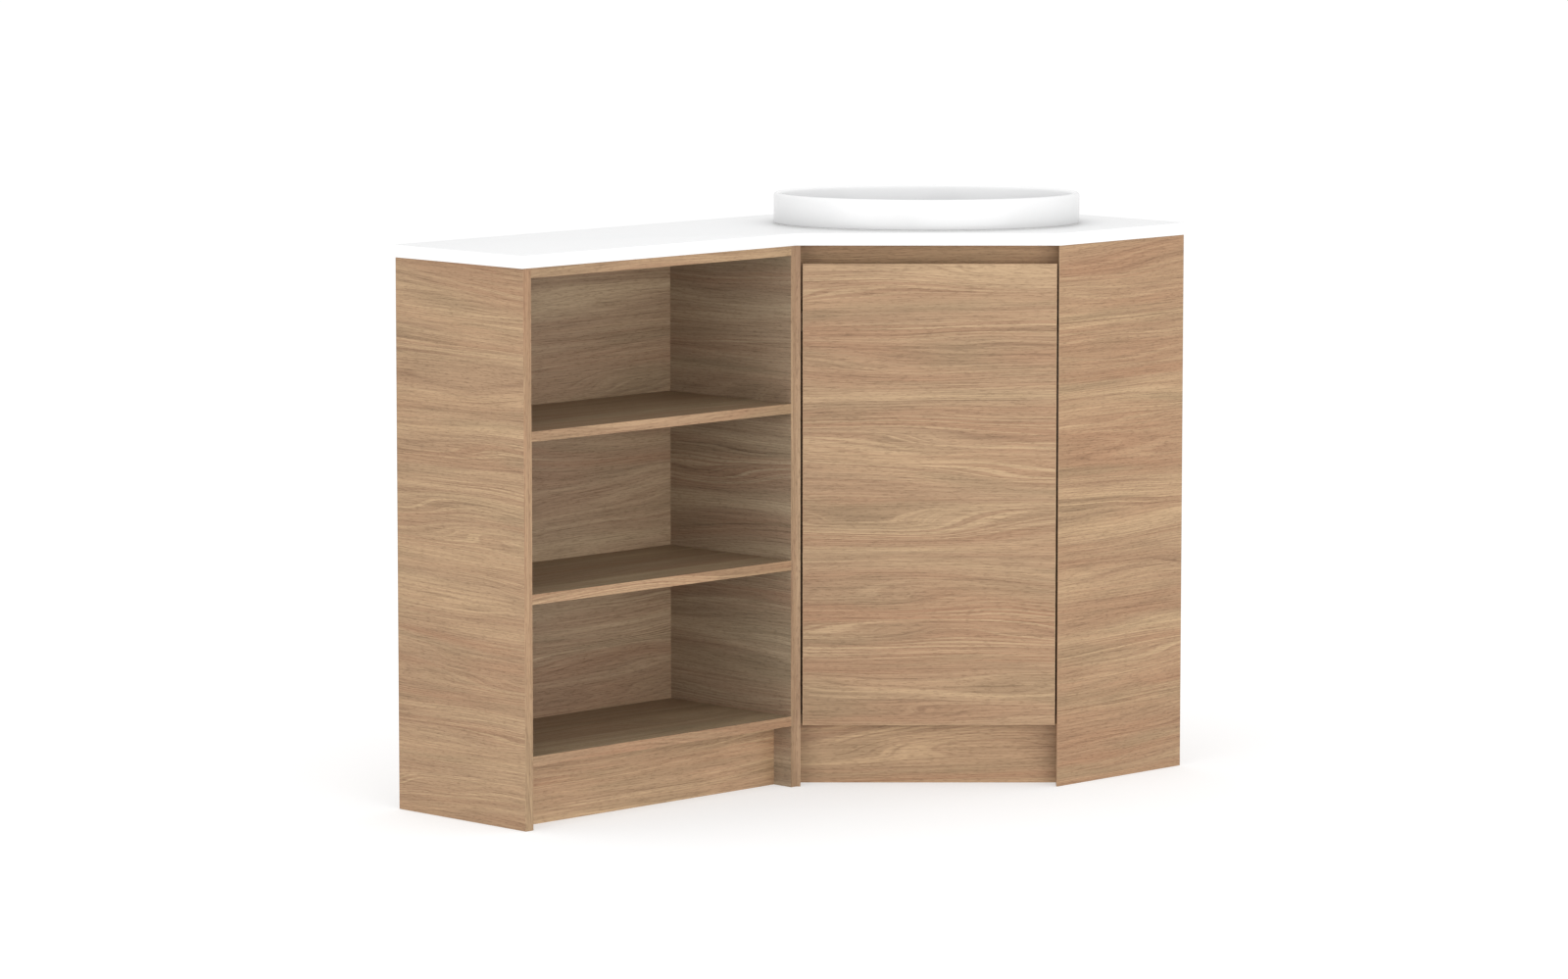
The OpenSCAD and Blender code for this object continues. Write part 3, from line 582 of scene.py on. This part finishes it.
@dataclass(frozen=True)
class Sheet:
    """Builds the mesh of one piece; turns up to smooth degrees are shaded smooth."""

    name: str
    smooth: float = 40.0

    def plain(self, points: np.ndarray, faces: Sequence[Sequence[int]]) -> Piece:
        """Put points and faces into a mesh as they are.

        Args:
            points: array (n, 3) in metres.
            faces: the point numbers of each face.

        Returns:
            The new piece, linked to the scene.
        """
        mesh = bpy.data.meshes.new(self.name)
        mesh.from_pydata(points, [], faces)
        mesh.validate()
        return linked(bpy.data.objects.new(self.name, mesh))

    def closed(self, points: np.ndarray, quads: np.ndarray, ends: Sequence[Sequence[int]] = ()) -> Piece:
        """Make a closed piece that faces outwards, with doubled points merged.

        Args:
            points: array (n, 3) in metres.
            quads: array (m, 4) of point numbers.
            ends: faces with other numbers of sides.

        Returns:
            The new piece.
        """
        piece = self.plain(points, [*quads.tolist(), *ends])
        mesh, shell = piece.data, bmesh.new()
        shell.from_mesh(mesh)
        bmesh.ops.remove_doubles(shell, verts=shell.verts, dist=MERGE)
        bmesh.ops.recalc_face_normals(shell, faces=shell.faces)
        shell.to_mesh(mesh)
        shell.free()
        mesh.polygons.foreach_set("use_smooth", np.ones(len(mesh.polygons), dtype=bool))
        mesh.set_sharp_from_angle(angle=math.radians(self.smooth))
        mesh.update()
        return piece

    def extruded(self, outline: np.ndarray, low: float, high: float, axes: np.ndarray = STRAIGHT) -> Piece:
        """Carry a closed outline along a straight way, and close each end by one face.

        Args:
            outline: array (n, 2) in metres.
            low: where the way starts, in metres.
            high: where it ends, in metres.
            axes: array whose rows are the directions of the outline's two axes and of the way.

        Returns:
            The new piece.
        """
        count = len(outline)
        flat = np.column_stack([np.tile(outline, (2, 1)), np.repeat([low, high], count)])
        ends = np.arange(2 * count).reshape(2, count).tolist()
        return self.closed(flat @ axes, grid(2, count), ends)

    def joined(self, parts: Sequence[Piece]) -> Piece:
        """Put several pieces into one and remove the separate ones.

        Args:
            parts: the separate pieces.

        Returns:
            The joined piece.
        """
        mesh, shell = bpy.data.meshes.new(self.name), bmesh.new()
        for part in parts:
            shell.from_mesh(part.data)
            bpy.data.objects.remove(part)
        shell.to_mesh(mesh)
        shell.free()
        return linked(bpy.data.objects.new(self.name, mesh))


def coat(target: Piece, material: Material) -> None:
    """Give an object one material in place of those that it has."""
    target.data.materials.clear()
    target.data.materials.append(material)


def put(piece: Piece, body: str, material: Material, node: str) -> None:
    """Dress a new piece, tie it to its body and let it stand for a node of the drawing.

    Args:
        piece: the new piece.
        body: the body that it moves with.
        material: its finish.
        node: the node.
    """
    coat(piece, material)
    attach(piece, body)
    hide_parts(node)
    LOG.info("piece %s on %s", piece.name, body)


def dress_nodes(material: Material, *names: str) -> None:
    """Give nodes of the drawing a finish.

    Args:
        material: the finish.
        *names: the nodes.
    """
    for name in names:
        coat(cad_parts[name], material)
        LOG.info("node %s dressed as %s", name, material.name)


# ---- carcass


@dataclass
class Carcass:
    """The boards, each with its own stretch of veneer and its own factors of painted light and shade."""

    oak: OakLaminate = OakLaminate()
    # Each row: grain, factors of painted light and shade, then the nodes.
    boards: tuple[tuple[Grain | PaintedLight | str, ...], ...] = (
        (Grain.PANEL_Y, PaintedLight.LEFT, "left_end_panel"),
        (Grain.PANEL_Y, PaintedLight.DIVIDER, "wing_divider"),
        (Grain.SHELF_X, PaintedLight.SHELF, "wing_top_panel", "upper_shelf", "lower_shelf", "wing_bottom_panel"),
        (Grain.PANEL_X, PaintedLight.BACK, "wing_back_panel"),
        (Grain.PANEL_X, PaintedLight.KICK, "wing_kickboard"),
        (Grain.PANEL_X, PaintedLight.RETURN, "return_end_panel"),
        (Grain.SHELF_X, PaintedLight.USUAL, "corner_floor_panel"),
        (Grain.PANEL_X, PaintedLight.USUAL, "corner_back_panel"),
        (Grain.PANEL_Y, PaintedLight.USUAL, "corner_side_panel"),
        (Grain.PANEL_DIAGONAL, PaintedLight.CORNER_KICK, "corner_kickboard"),
        (Grain.PANEL_DIAGONAL, PaintedLight.RAIL, "finger_rail"),
        (Grain.SHELF_X, PaintedLight.USUAL, "rear_stretcher", "side_stretcher", "door_stop_block"),
        (Grain.PANEL_DIAGONAL, PaintedLight.DOOR, "door_panel"),
    )

    def build(self) -> None:
        """Dress every board of the drawing, and the beech parts between them."""
        boards = [(node, grain, painted_light) for grain, painted_light, *nodes in self.boards for node in nodes]
        for cut, (node, grain, painted_light) in enumerate(boards, 1):
            dress_nodes(self.oak.dress(f"oak_{node}", grain, cut, painted_light), node)
        dress_nodes(BARE_BEECH.dress(), "glue_blocks", "wooden_dowels")


@dataclass
class Bands:
    """Oak bands, one millimetre thick, whose outer arrises are rounded."""

    oak: OakLaminate = OakLaminate()
    front: float = 0.004
    thick: float = 0.001
    arris: float = 0.0004

    def _strip(
        self, outline: np.ndarray, soft: Sequence[int], low: float, high: float, axes: np.ndarray = STRAIGHT
    ) -> Piece:
        """Carry an outline along a straight way, with the corners rounded that soft marks with 1."""
        return Sheet("strip").extruded(rounded(outline, self.arris * np.array(soft)), low, high, axes)

    def _lay(self, name: str, strips: Sequence[Piece], node: str, body: str, *look: object) -> None:
        """Join strips into one piece, dress it (grain, cut, factors of painted light and shade) and put it in
        its node's place.
        """
        material = self.oak.dress(f"oak_{name}", *look)
        put(Sheet(name).joined(strips), body, material, node)


@dataclass
class EdgeBands(Bands):
    """Bands of the end panels, the divider and the shelves."""

    left: float = -0.594
    board: float = 0.016
    foot: float = 0.100
    height: float = 0.880
    divider: float = -0.009
    bevel: float = 0.420806
    return_face: float = -0.280
    levels: int = 4

    def build(self) -> None:
        """Make the four pieces."""
        left = rectangle(self.left, self.left + self.board, self.front, self.front + self.thick)
        nose = [*self._nose(self.front), *self._nose(self.front + self.thick)[::-1]]
        # Lines square to the diagonal front run back to the return panel's inner face.
        ends, face = (self.bevel, self.bevel + self.thick), self.return_face
        rear = [[ROOT_TWO * along + face, face] for along in ends[::-1]]
        bevel = [*(on_diagonal(along, self.front) for along in ends), *rear]
        # The divider's band takes darker factors: painted shade.
        sides = (
            ("left_end", left, (1, 1, 0, 0), Grain.UPRIGHT_X, 31),
            ("divider", nose, (1, 1, 1, 0, 0, 0), Grain.UPRIGHT_X, 33, PaintedLight.DIVIDER_BAND),
            ("return", bevel, (1, 0, 0, 0), Grain.UPRIGHT_DIAGONAL, 35),
        )
        for name, outline, soft, *look in sides:
            strip = self._strip(np.array(outline), soft, 0.0, self.height)
            self._lay(f"{name}_band", [strip], f"{name}_edge_band", BODY, *look)
        shelves = [self._shelf(low) for low in np.linspace(self.foot, self.height - self.board, self.levels)]
        self._lay("shelf_bands", shelves, "shelf_edge_bands", BODY, Grain.PANEL_X, 37)

    def _nose(self, level: float) -> list[list[float]]:
        """Go round the divider's nose at a level behind the front, turning 45 degrees with it."""
        right, reach = self.divider + self.board, ROOT_TWO * level
        return [[self.divider, level], [reach - level, level], [right, reach - right]]

    def _shelf(self, low: float) -> Piece:
        """Make the strip of the level board whose underside is at the height low."""
        outline = rectangle(self.front, self.front + self.thick, low, low + self.board)
        return self._strip(outline, (1, 0, 0, 1), self.left + self.board, self.divider, SIDEWAYS)


# ---- worktop and basin


@dataclass
class Worktop:
    """The white board over both wings, with an oval hole for the basin."""

    corners: tuple[Pair, ...] = ((-0.6, 0.0), (0.0, 0.0), (0.3, -0.3), (0.6, -0.3), (0.6, 0.3), (-0.6, 0.3))
    levels: Pair = (0.880, 0.900)
    arris: float = 0.0009
    hole: Pair = (0.239, 0.163)
    centre: Pair = (0.300, 0.0)
    sides: int = 192

    def build(self) -> None:
        """Make the board and put it in the place of the drawing's."""
        outer = self._outer_rings()
        rings, count = outer.shape[:2]
        start = rings * count
        hole = np.array([[*self.hole, level] for level in self.levels])
        points = np.concatenate([outer.reshape(-1, 3), ovals(hole, self.centre, self.sides)])
        faces = [grid(rings, count), grid(2, self.sides, start=start)[:, ::-1]]
        under = [face[::-1] for face in self._caps(0, start)]
        caps = [*under, *self._caps(start - count, start + self.sides)]
        piece = Sheet("worktop_slab", 30.0).closed(points, np.concatenate(faces), caps)
        put(piece, BODY, WHITE_BOARD.dress(), "worktop")

    def _outer_rings(self) -> np.ndarray:
        """Stack the outline from the underside to the top, drawn in round both arrises.

        At turn t of an arris of radius r the outline is offset inwards by r (1 - sin t)
        and lies r (1 - cos t) from the face.

        Returns:
            Array (rings, corners, 3).
        """
        flat = np.array(self.corners)
        way = np.roll(flat, -1, axis=0) - flat
        way /= np.linalg.norm(way, axis=1, keepdims=True)
        after = np.stack([-way[:, 1], way[:, 0]], axis=1)
        before = np.roll(after, 1, axis=0)
        mitre = (before + after) / (1.0 + np.sum(before * after, axis=1, keepdims=True))
        turn = np.linspace(0.0, QUARTER, 5)
        inset = self.arris * (1 - np.sin(turn))
        step = self.arris * (1 - np.cos(turn))
        height = np.concatenate([self.levels[0] + step, self.levels[1] - step[::-1]])
        plan = flat + np.concatenate([inset, inset[::-1]])[:, None, None] * mitre
        return np.concatenate([plan, np.broadcast_to(height[:, None, None], (*plan.shape[:2], 1))], axis=2)

    def _caps(self, outline: int, hole: int) -> list[list[int]]:
        """Close one face by two many-sided faces that meet beside the hole.

        Args:
            outline: number of the outline's first point.
            hole: number of the hole's first point.

        Returns:
            The two faces.
        """
        half, back = self.sides // 2, self.sides // 4
        first, knee, front_left, front_right, corner, rear = range(outline, outline + len(self.corners))
        front = [hole + (back - step) % self.sides for step in range(half + 1)]
        behind = [hole + (back + half - step) % self.sides for step in range(half + 1)]
        return [[knee, front_left, front_right, corner, *front], [corner, rear, first, knee, *behind]]


@dataclass
class OvalBasin:
    """Glazed basin with a wall that stands on the worktop and a bowl that hangs in it.

    Every ring of it is an ellipse with its long axis along the cupboard's front. All
    sizes are in millimetres.
    """

    centre: Pair = (300.0, 0.0)
    half: Pair = (250.0, 170.0)
    rim: float = 10.0
    lip: float = 4.6
    top: float = 950.0
    board: float = 900.0
    foot: float = 901.0
    depth: float = 105.0
    floor: float = 33.0
    drain: float = 23.0
    shell: float = 8.0
    power: float = 2.6
    hole: Pair = (239.0, 163.0)
    play: float = 3.0
    neck: Pair = (894.0, 897.5)
    wall: Triple = (912.0, 925.0, 937.0)
    toe: float = 1.2
    bead: float = 248.4
    hollow: float = 1.2
    margin: float = 0.6
    sides: int = 192

    def build(self) -> None:
        """Make the basin and its bead of sealant, whose outer face is hollow."""
        put(self._swept("oval_basin", self._section(), 50.0), BODY, WHITE_GLAZE.dress(), "basin")
        t = np.linspace(0.0, 1.0, 9)
        reach = self.bead + self.hollow * (2.0 * t - 1.0) ** 2
        longer, height = self.half[0] - self.half[1], self.foot - self.board
        inside = [[*(side + self.margin for side in self.hole), level] for level in (self.foot, self.board)]
        outside = np.stack([reach, reach - longer, self.board + height * t], axis=1)
        ring = self._swept("sealant_bead", np.concatenate([inside, outside]), 30.0)
        put(ring, BODY, SILICONE.dress(), "basin_sealant")

    def _bowl(self, w: np.ndarray, thick: float = 0.0) -> np.ndarray:
        """Rings of the bowl's wall.

        The half lengths are f + (A - f) w + t w ** 1.8, with f the floor's radius and A the
        rim's inner half length. The height is z0 + depth * share - t (1 - w ** 3.6) ** 0.5,
        with share = 1 - (1 - w ** m) ** (1 / m).

        Args:
            w: 0 at the flat floor's edge, 1 at the rim.
            thick: t, 0 on the inner face and the wall's thickness on the outer one.

        Returns:
            Array (n, 3) of half length, half width and height.
        """
        reach = [self.floor + (side - self.rim - self.floor) * w + thick * w**1.8 for side in self.half]
        share = 1.0 - (1.0 - w**self.power) ** (1.0 / self.power)
        level = self.top - self.depth + self.depth * share - thick * np.sqrt(1.0 - w**3.6)
        return np.stack([*reach, level], axis=1)

    def _section(self) -> np.ndarray:
        """Walk once round the wall: under the bowl, up outside, over the rim and down inside.

        Returns:
            Array (n, 3) of half length, half width and height for each ring.
        """
        base = self.top - self.depth
        turn = np.linspace(0.0, QUARTER, 7)
        toe, inner = self.toe, self.rim - self.lip
        neck = [side - self.play for side in self.hole]
        rows = [
            [[radius, radius, base - self.shell] for radius in (self.drain, self.floor + 2.0)],
            self._bowl(np.linspace(0.16, 0.88, 18), self.shell),
            [[*neck, level] for level in (*self.neck, self.foot)],
            self._arc(toe, self.foot + toe, toe, turn - QUARTER),
            [[*self.half, level] for level in self.wall],
            self._arc(self.lip, self.top - self.lip, self.lip, turn),
            self._arc(inner, self.top - self.lip, self.lip, turn + QUARTER),
            self._bowl(1.0 - np.linspace(0.0, 1.0, 46)[1:] ** 2.2),
            [[self.drain + 1.0, self.drain + 1.0, base], [self.drain, self.drain, base - 1.0]],
        ]
        return np.concatenate(rows)

    def _arc(self, inset: float, level: float, radius: float, turn: np.ndarray) -> np.ndarray:
        """Rings on an arc: half lengths - inset + r cos t, height level + r sin t."""
        reach = [side - inset + radius * np.cos(turn) for side in self.half]
        return np.stack([*reach, level + radius * np.sin(turn)], axis=1)

    def _swept(self, name: str, section: np.ndarray, smooth: float) -> Piece:
        """Sweep a closed section of (half length, half width, height) round the oval."""
        faces = grid(len(section), self.sides, True)
        return Sheet(name, smooth).closed(ovals(section, self.centre, self.sides) * MM, faces)


@dataclass
class Waste:
    """Chrome waste: a flange on its seal, a threaded tail and a lifting plug (millimetres)."""

    centre: Triple = (300.0, 0.0, 0.0)
    bowl: float = 845.0
    tail: float = 755.0
    radius: float = 20.95
    bore: float = 17.0
    flange: float = 31.5
    seal: float = 0.5
    neck: float = 833.0
    pitch: float = 2.309
    thread: float = 1.1
    fade: float = 2.0
    edge: float = 0.4
    guide: Pair = (4.05, 7.0)
    guide_span: Pair = (800.0, 830.0)
    spoke: Pair = (6.5, 16.95)
    spoke_half: float = 1.5
    spoke_head: float = 808.0
    plug: float = 849.7
    cap: float = 29.2
    rise: float = 2.3
    crown: float = 3.7
    stem: float = 4.0
    stem_foot: float = 790.0
    sides: int = 96

    def build(self) -> None:
        """Make the waste's parts and dress those that stay as drawn."""
        chrome = CHROME.dress()
        put(self._shell(), BODY, chrome, "waste_body")
        guide = Sheet("plug_guide").joined([self._guide(), *self._spokes()])
        put(guide, BODY, chrome, "waste_guide")
        put(self._plug(), PLUG, chrome, "plug")
        dress_nodes(chrome, "waste_back_nut")
        dress_nodes(BLACK_RUBBER.dress(), "waste_top_seal", "waste_washer", "plug_seal")

    def _turned(self, name: str, rings: np.ndarray, sides: int, loop: bool, smooth: float) -> Piece:
        """Turn rings of (radius, height) about the waste's axis."""
        points = revolved(rings[..., 0], rings[..., 1], all_round(sides)) * MM + np.array(self.centre) * MM
        return Sheet(name, smooth).closed(points, grid(len(rings), sides, loop))

    def _shell(self) -> Piece:
        """Flange, bore and threaded tail.

        On the tail the radius is R - h |2 frac(z / pitch - angle / turn) - 1|, which falls to
        the plain radius near both ends, so the thread runs out.

        Returns:
            The shell.
        """
        level = np.arange(self.tail + self.edge, self.neck - 1.0, self.pitch / 6.0)[:, None]
        wave = np.abs(2.0 * ((level / self.pitch - all_round(self.sides) / TURN) % 1.0) - 1.0)
        room = np.minimum(level - self.tail - self.edge, self.neck - self.fade - level)
        ends = np.clip(room / self.fade, 0.0, 1.0)
        tail = np.stack(np.broadcast_arrays(self.radius - self.thread * ends * wave, level), axis=-1)
        over, foot, bore, edge = self.bowl + self.seal, self.tail, self.bore, self.edge
        t = np.linspace(0.0, QUARTER, 6)
        rows = [
            [[self.radius, self.neck], [self.radius, over], [self.flange, over]],
            np.stack([self.flange - 2.6 + 2.6 * np.cos(t), over + 0.9 + 2.1 * np.sin(t)], axis=1),
            [[bore + 3.4, over + 3.0], [bore + 2.8, over + 2.7], [bore, self.bowl]],
            [[bore, foot + edge], [bore + edge, foot], [self.radius - 0.6, foot]],
        ]
        upper = np.repeat(np.concatenate(rows)[:, None], self.sides, axis=1)
        rings = np.concatenate([tail, upper])
        return self._turned("waste_shell", rings, self.sides, True, 45.0)

    def _guide(self) -> Piece:
        """Tube that the plug's stem slides in, with its two outer edges bevelled.

        Returns:
            The tube.
        """
        (inner, outer), (low, high), edge = self.guide, self.guide_span, self.edge
        foot = [[inner, low], [outer - edge, low], [outer, low + edge]]
        head = [[outer, high - edge], [outer - edge, high], [inner, high]]
        return self._turned("waste_guide", np.array([*foot, *head])[:, None], self.sides // 2, True, 30.0)

    def _spokes(self) -> list[Piece]:
        """Three flat spokes that hold the guide in the bore.

        Returns:
            The spokes.
        """
        made = []
        for turn in all_round(3) - math.radians(DIAGONAL):
            axes = np.array([[math.cos(turn), math.sin(turn)], [-math.sin(turn), math.cos(turn)]])
            plan = (rectangle(*self.spoke, -self.spoke_half, self.spoke_half) @ axes + self.centre[:2]) * MM
            shape = rounded(plan, (0.0003,) * 4, 3)
            made.append(Sheet("spoke").extruded(shape, self.guide_span[0] * MM, self.spoke_head * MM))
        return made

    def _plug(self) -> Piece:
        """Domed cap on a round stem: z = z0 + rise + crown (1 - (r / R) ** 2.4) over the top.

        Returns:
            The plug.
        """
        base, stem, foot, half = self.plug, self.stem, self.stem_foot, self.rise / 2.0
        r = np.linspace(0.0, 1.0, 18)
        dome = np.stack([self.cap * r, base + self.rise + self.crown * (1.0 - r**2.4)], axis=1)
        t = np.linspace(0.2, math.pi - 0.2, 7)
        edge = np.stack([29.0 + np.sin(t), base + half + half * np.cos(t)], axis=1)
        rest = [[28.6, base], [stem, base], [stem, foot + 0.6], [stem - 0.6, foot], [0.0, foot]]
        return self._turned("plug_cap", np.concatenate([dome, edge, rest])[:, None], self.sides, False, 40.0)


# ---- door and fittings


@dataclass
class Door(Bands):
    """Edge bands of the door, with a slot in the right one for each hinge."""

    left: float = 0.0088995
    right: float = 0.4178067
    low: float = 0.1005
    high: float = 0.8505
    back: float = 0.020
    slot: float = 0.0065
    slot_front: float = 0.0066
    hinges: Pair = (0.1955, 0.7555)

    def build(self) -> None:
        """Make the four bands; at each slot only the front part of the right one goes on."""
        slant = 1.0 / ROOT_TWO
        along, inwards, up = (slant, -slant, 0.0), (slant, slant, 0.0), (0.0, 0.0, 1.0)
        upright, level = np.array([along, inwards, up]), np.array([inwards, up, along])
        s0, s1, s2, s3 = self.left, self.left + self.thick, self.right - self.thick, self.right
        stops = [self.low, *(z + step for z in self.hinges for step in (-self.slot, self.slot)), self.high]
        side, front = rectangle(s2, s3, self.front, self.back), rectangle(s2, s3, self.front, self.slot_front)
        plan = [(rectangle(s0, s1, self.front, self.back), (1, 0, 0, 1), self.low, self.high, upright)]
        plan += [(side, (0, 1, 1, 0), *span, upright) for span in zip(stops[0::2], stops[1::2])]
        plan += [(front, (0, 1, 0, 0), *span, upright) for span in zip(stops[1:-1:2], stops[2::2])]
        for z, soft in ((self.low, (1, 1, 0, 0)), (self.high - self.thick, (0, 0, 1, 1))):
            plan.append((rectangle(self.front, self.back, z, z + self.thick), soft, s1, s2, level))
        strips = [self._strip(*strip) for strip in plan]
        self._lay("door_bands", strips, "door_edge_bands", DOOR, Grain.PANEL_DIAGONAL, 41)


@dataclass
class CrossHeads:
    """A set of screws whose heads have a cross-shaped recess (millimetres).

    The way points out of the heads, and the places are the middles of their undersides.
    """

    name: str
    body: str
    length: float
    way: Triple
    places: list[Triple]
    radius: float = 3.8
    shank: float = 2.0
    point: float = 1.5
    crown: float = 0.5
    side: float = 1.5
    edge: float = 0.25
    recess: float = 1.2
    arm: float = 0.52
    arm_slope: float = 0.22
    cross: float = 0.62
    cross_slope: float = 0.5
    columns: int = 64

    def build(self, steel: Material) -> None:
        """Make all the screws as one piece.

        Args:
            steel: the finish.
        """
        up = np.array(self.way) / np.linalg.norm(self.way)
        side = np.cross(STRAIGHT[0] if abs(up[2]) > 0.9 else STRAIGHT[2], up)
        side /= np.linalg.norm(side)
        local = self._one() @ np.array([side, np.cross(up, side), up])
        points = (np.array(self.places)[:, None, :] + local).reshape(-1, 3) * MM
        starts = np.arange(len(self.places)) * len(local)
        faces = [grid(len(local) // self.columns, self.columns, start=start) for start in starts]
        piece = Sheet(f"{self.name}_set", 35.0).closed(points, np.concatenate(faces))
        put(piece, self.body, steel, f"{self.name}s")

    def _one(self) -> np.ndarray:
        """Points of one screw, its head's underside at z 0 and its shank below.

        Over the head z = side + crown (1 - (r / R) ** 2) - recess * c, where c is 1 where
        min(|x|, |y|) < arm and r < cross * R, and falls to 0 over a short slope.

        Returns:
            Array (rows * columns, 3).
        """
        angle = all_round(self.columns) + 0.5 * TURN / self.columns
        r = (np.linspace(0.0, 1.0, 22) * (self.radius - self.edge))[:, None]
        nearest = np.minimum(np.abs(r * np.cos(angle)), np.abs(r * np.sin(angle)))
        arm = np.clip((self.arm - nearest) / self.arm_slope + 0.5, 0.0, 1.0)
        reach = np.clip((self.cross * self.radius - r) / self.cross_slope + 0.5, 0.0, 1.0)
        head = self.side + self.crown * (1.0 - (r / self.radius) ** 2) - self.recess * arm * reach
        radius = np.array([self.radius, self.radius, self.shank, self.shank, 0.0])[:, None]
        height = np.array([self.side - self.edge, 0.0, 0.0, self.point - self.length, -self.length])[:, None]
        return np.concatenate([revolved(r, head, angle), revolved(radius, height, angle)])


@dataclass
class Fittings:
    """Hinges, screws, cams and bumpers (millimetres)."""

    hinges: Pair = (195.5, 755.5)
    cup: float = 395.8067
    cup_face: float = 21.2
    cup_step: float = 25.0
    plate_step: float = 19.0
    plate: Pair = (347.157, -277.5)
    arm: Pair = (349.157, -269.704)
    under: float = 864.0
    wing: tuple[Pair, ...] = ((-493.0, 150.0), (-293.5, 150.0), (-94.0, 150.0))
    corner: tuple[Pair, ...] = ((100.0, 244.0), (300.0, 244.0), (541.0, 60.0), (541.0, -120.0))

    def build(self) -> None:
        """Make the screws and dress the fittings."""
        steel = STEEL.dress()
        hinges = [f"{place}_hinge_{part}" for place in ("upper", "lower") for part in ("cup", "arm")]
        dress_nodes(steel, "cam_locks", "cam_bolts", "case_screws", "hinge_pins", "hinge_plates", *hinges)
        dress_nodes(GREY_BUMPER.dress(), "door_bumpers")
        cup = on_diagonal(self.cup, self.cup_face)
        top = [(*place, self.under) for place in self.wing + self.corner]
        sets = (
            ("cup_screw", DOOR, 12.2, (1.0, 1.0, 0.0), self._pairs(cup, self.cup_step)),
            ("plate_screw", BODY, 13.5, (0.0, 1.0, 0.0), self._pairs(self.plate, self.plate_step)),
            ("arm_screw", BODY, 8.0, (0.0, 1.0, 0.0), [(*self.arm, z) for z in self.hinges]),
            ("worktop_screw", BODY, 28.0, (0.0, 0.0, -1.0), top),
        )
        for row in sets:
            CrossHeads(*row).build(steel)

    def _pairs(self, place: Sequence[float], step: float) -> list[Triple]:
        """Give a place below and above the middle of each hinge."""
        return [(*place, z + side) for z in self.hinges for side in (-step, step)]


# ---- studio


@dataclass
class Studio:
    """White room: pale floor, white surround, soft lights and the camera."""

    camera_place: Triple = (-7.4066, -7.3769, 1.7693)
    lens: float = 150.0
    film: float = 36.0
    pitch: float = 7.0
    yaw: float = 45.0
    far: float = 100.0
    sky: float = 0.94
    floor_half: float = 30.0
    floor_level: float = -0.0005
    lamps: tuple[tuple[str, Triple, Triple, Pair, float], ...] = (
        ("front_softbox", (-1.54, -4.23, 1.0), (0.0, 0.0, 0.5), (4.0, 1.6), 56.0),
        ("left_softbox", (-4.4, -0.7, 1.0), (0.0, 0.0, 0.5), (3.0, 1.6), 34.0),
        ("top_softbox", (0.0, 0.0, 3.4), (0.0, 0.0, 0.9), (2.6, 2.6), 10.0),
    )

    def build(self) -> None:
        """Set the view, the surround, the floor, the lights and the camera."""
        scene = bpy.context.scene
        scene.view_settings.view_transform = "Standard"
        scene.view_settings.look = "None"
        scene.world = bpy.data.worlds.new("white_room")
        scene.world.use_nodes = True
        background = scene.world.node_tree.nodes["Background"]
        background.inputs["Color"].default_value = WHITE
        background.inputs["Strength"].default_value = self.sky
        self._floor()
        self._lamps()
        self._camera()

    def _floor(self) -> None:
        """Lay a wide pale floor just under the unit."""
        reach = self.floor_half
        corners = rectangle(-reach, reach, -reach, reach)
        floor = Sheet("studio_floor").plain(np.insert(corners, 2, self.floor_level, axis=1), [range(4)])
        coat(floor, PALE_FLOOR.dress())

    def _lamps(self) -> None:
        """Hang the soft lamps: name, place, the point that it faces, size in metres and watts."""
        for name, place, target, size, power in self.lamps:
            data = bpy.data.lights.new(name, "AREA")
            data.shape = "RECTANGLE"
            data.size, data.size_y = size
            data.energy = power
            x, y, z = (end - start for start, end in zip(place, target))
            lamp = linked(bpy.data.objects.new(name, data))
            lamp.location = place
            lamp.rotation_euler = (math.atan2(math.hypot(x, y), -z), 0.0, math.atan2(-x, y))

    def _camera(self) -> None:
        """Stand the camera where the photograph was taken from."""
        data = bpy.data.cameras.new("photo_camera")
        data.lens = self.lens
        data.sensor_width = self.film
        data.clip_end = self.far
        camera = linked(bpy.data.objects.new("photo_camera", data))
        camera.location = self.camera_place
        camera.rotation_euler = (math.radians(90.0 - self.pitch), 0.0, math.radians(-self.yaw))
        bpy.context.scene.camera = camera


def main() -> None:
    """Dress the unit, light it and stand the camera."""
    logging.basicConfig(level=logging.INFO, format="%(message)s")
    for part in (Carcass(), EdgeBands(), Worktop(), OvalBasin(), Waste(), Door(), Fittings(), Studio()):
        part.build()


if __name__ == "__main__":
    main()
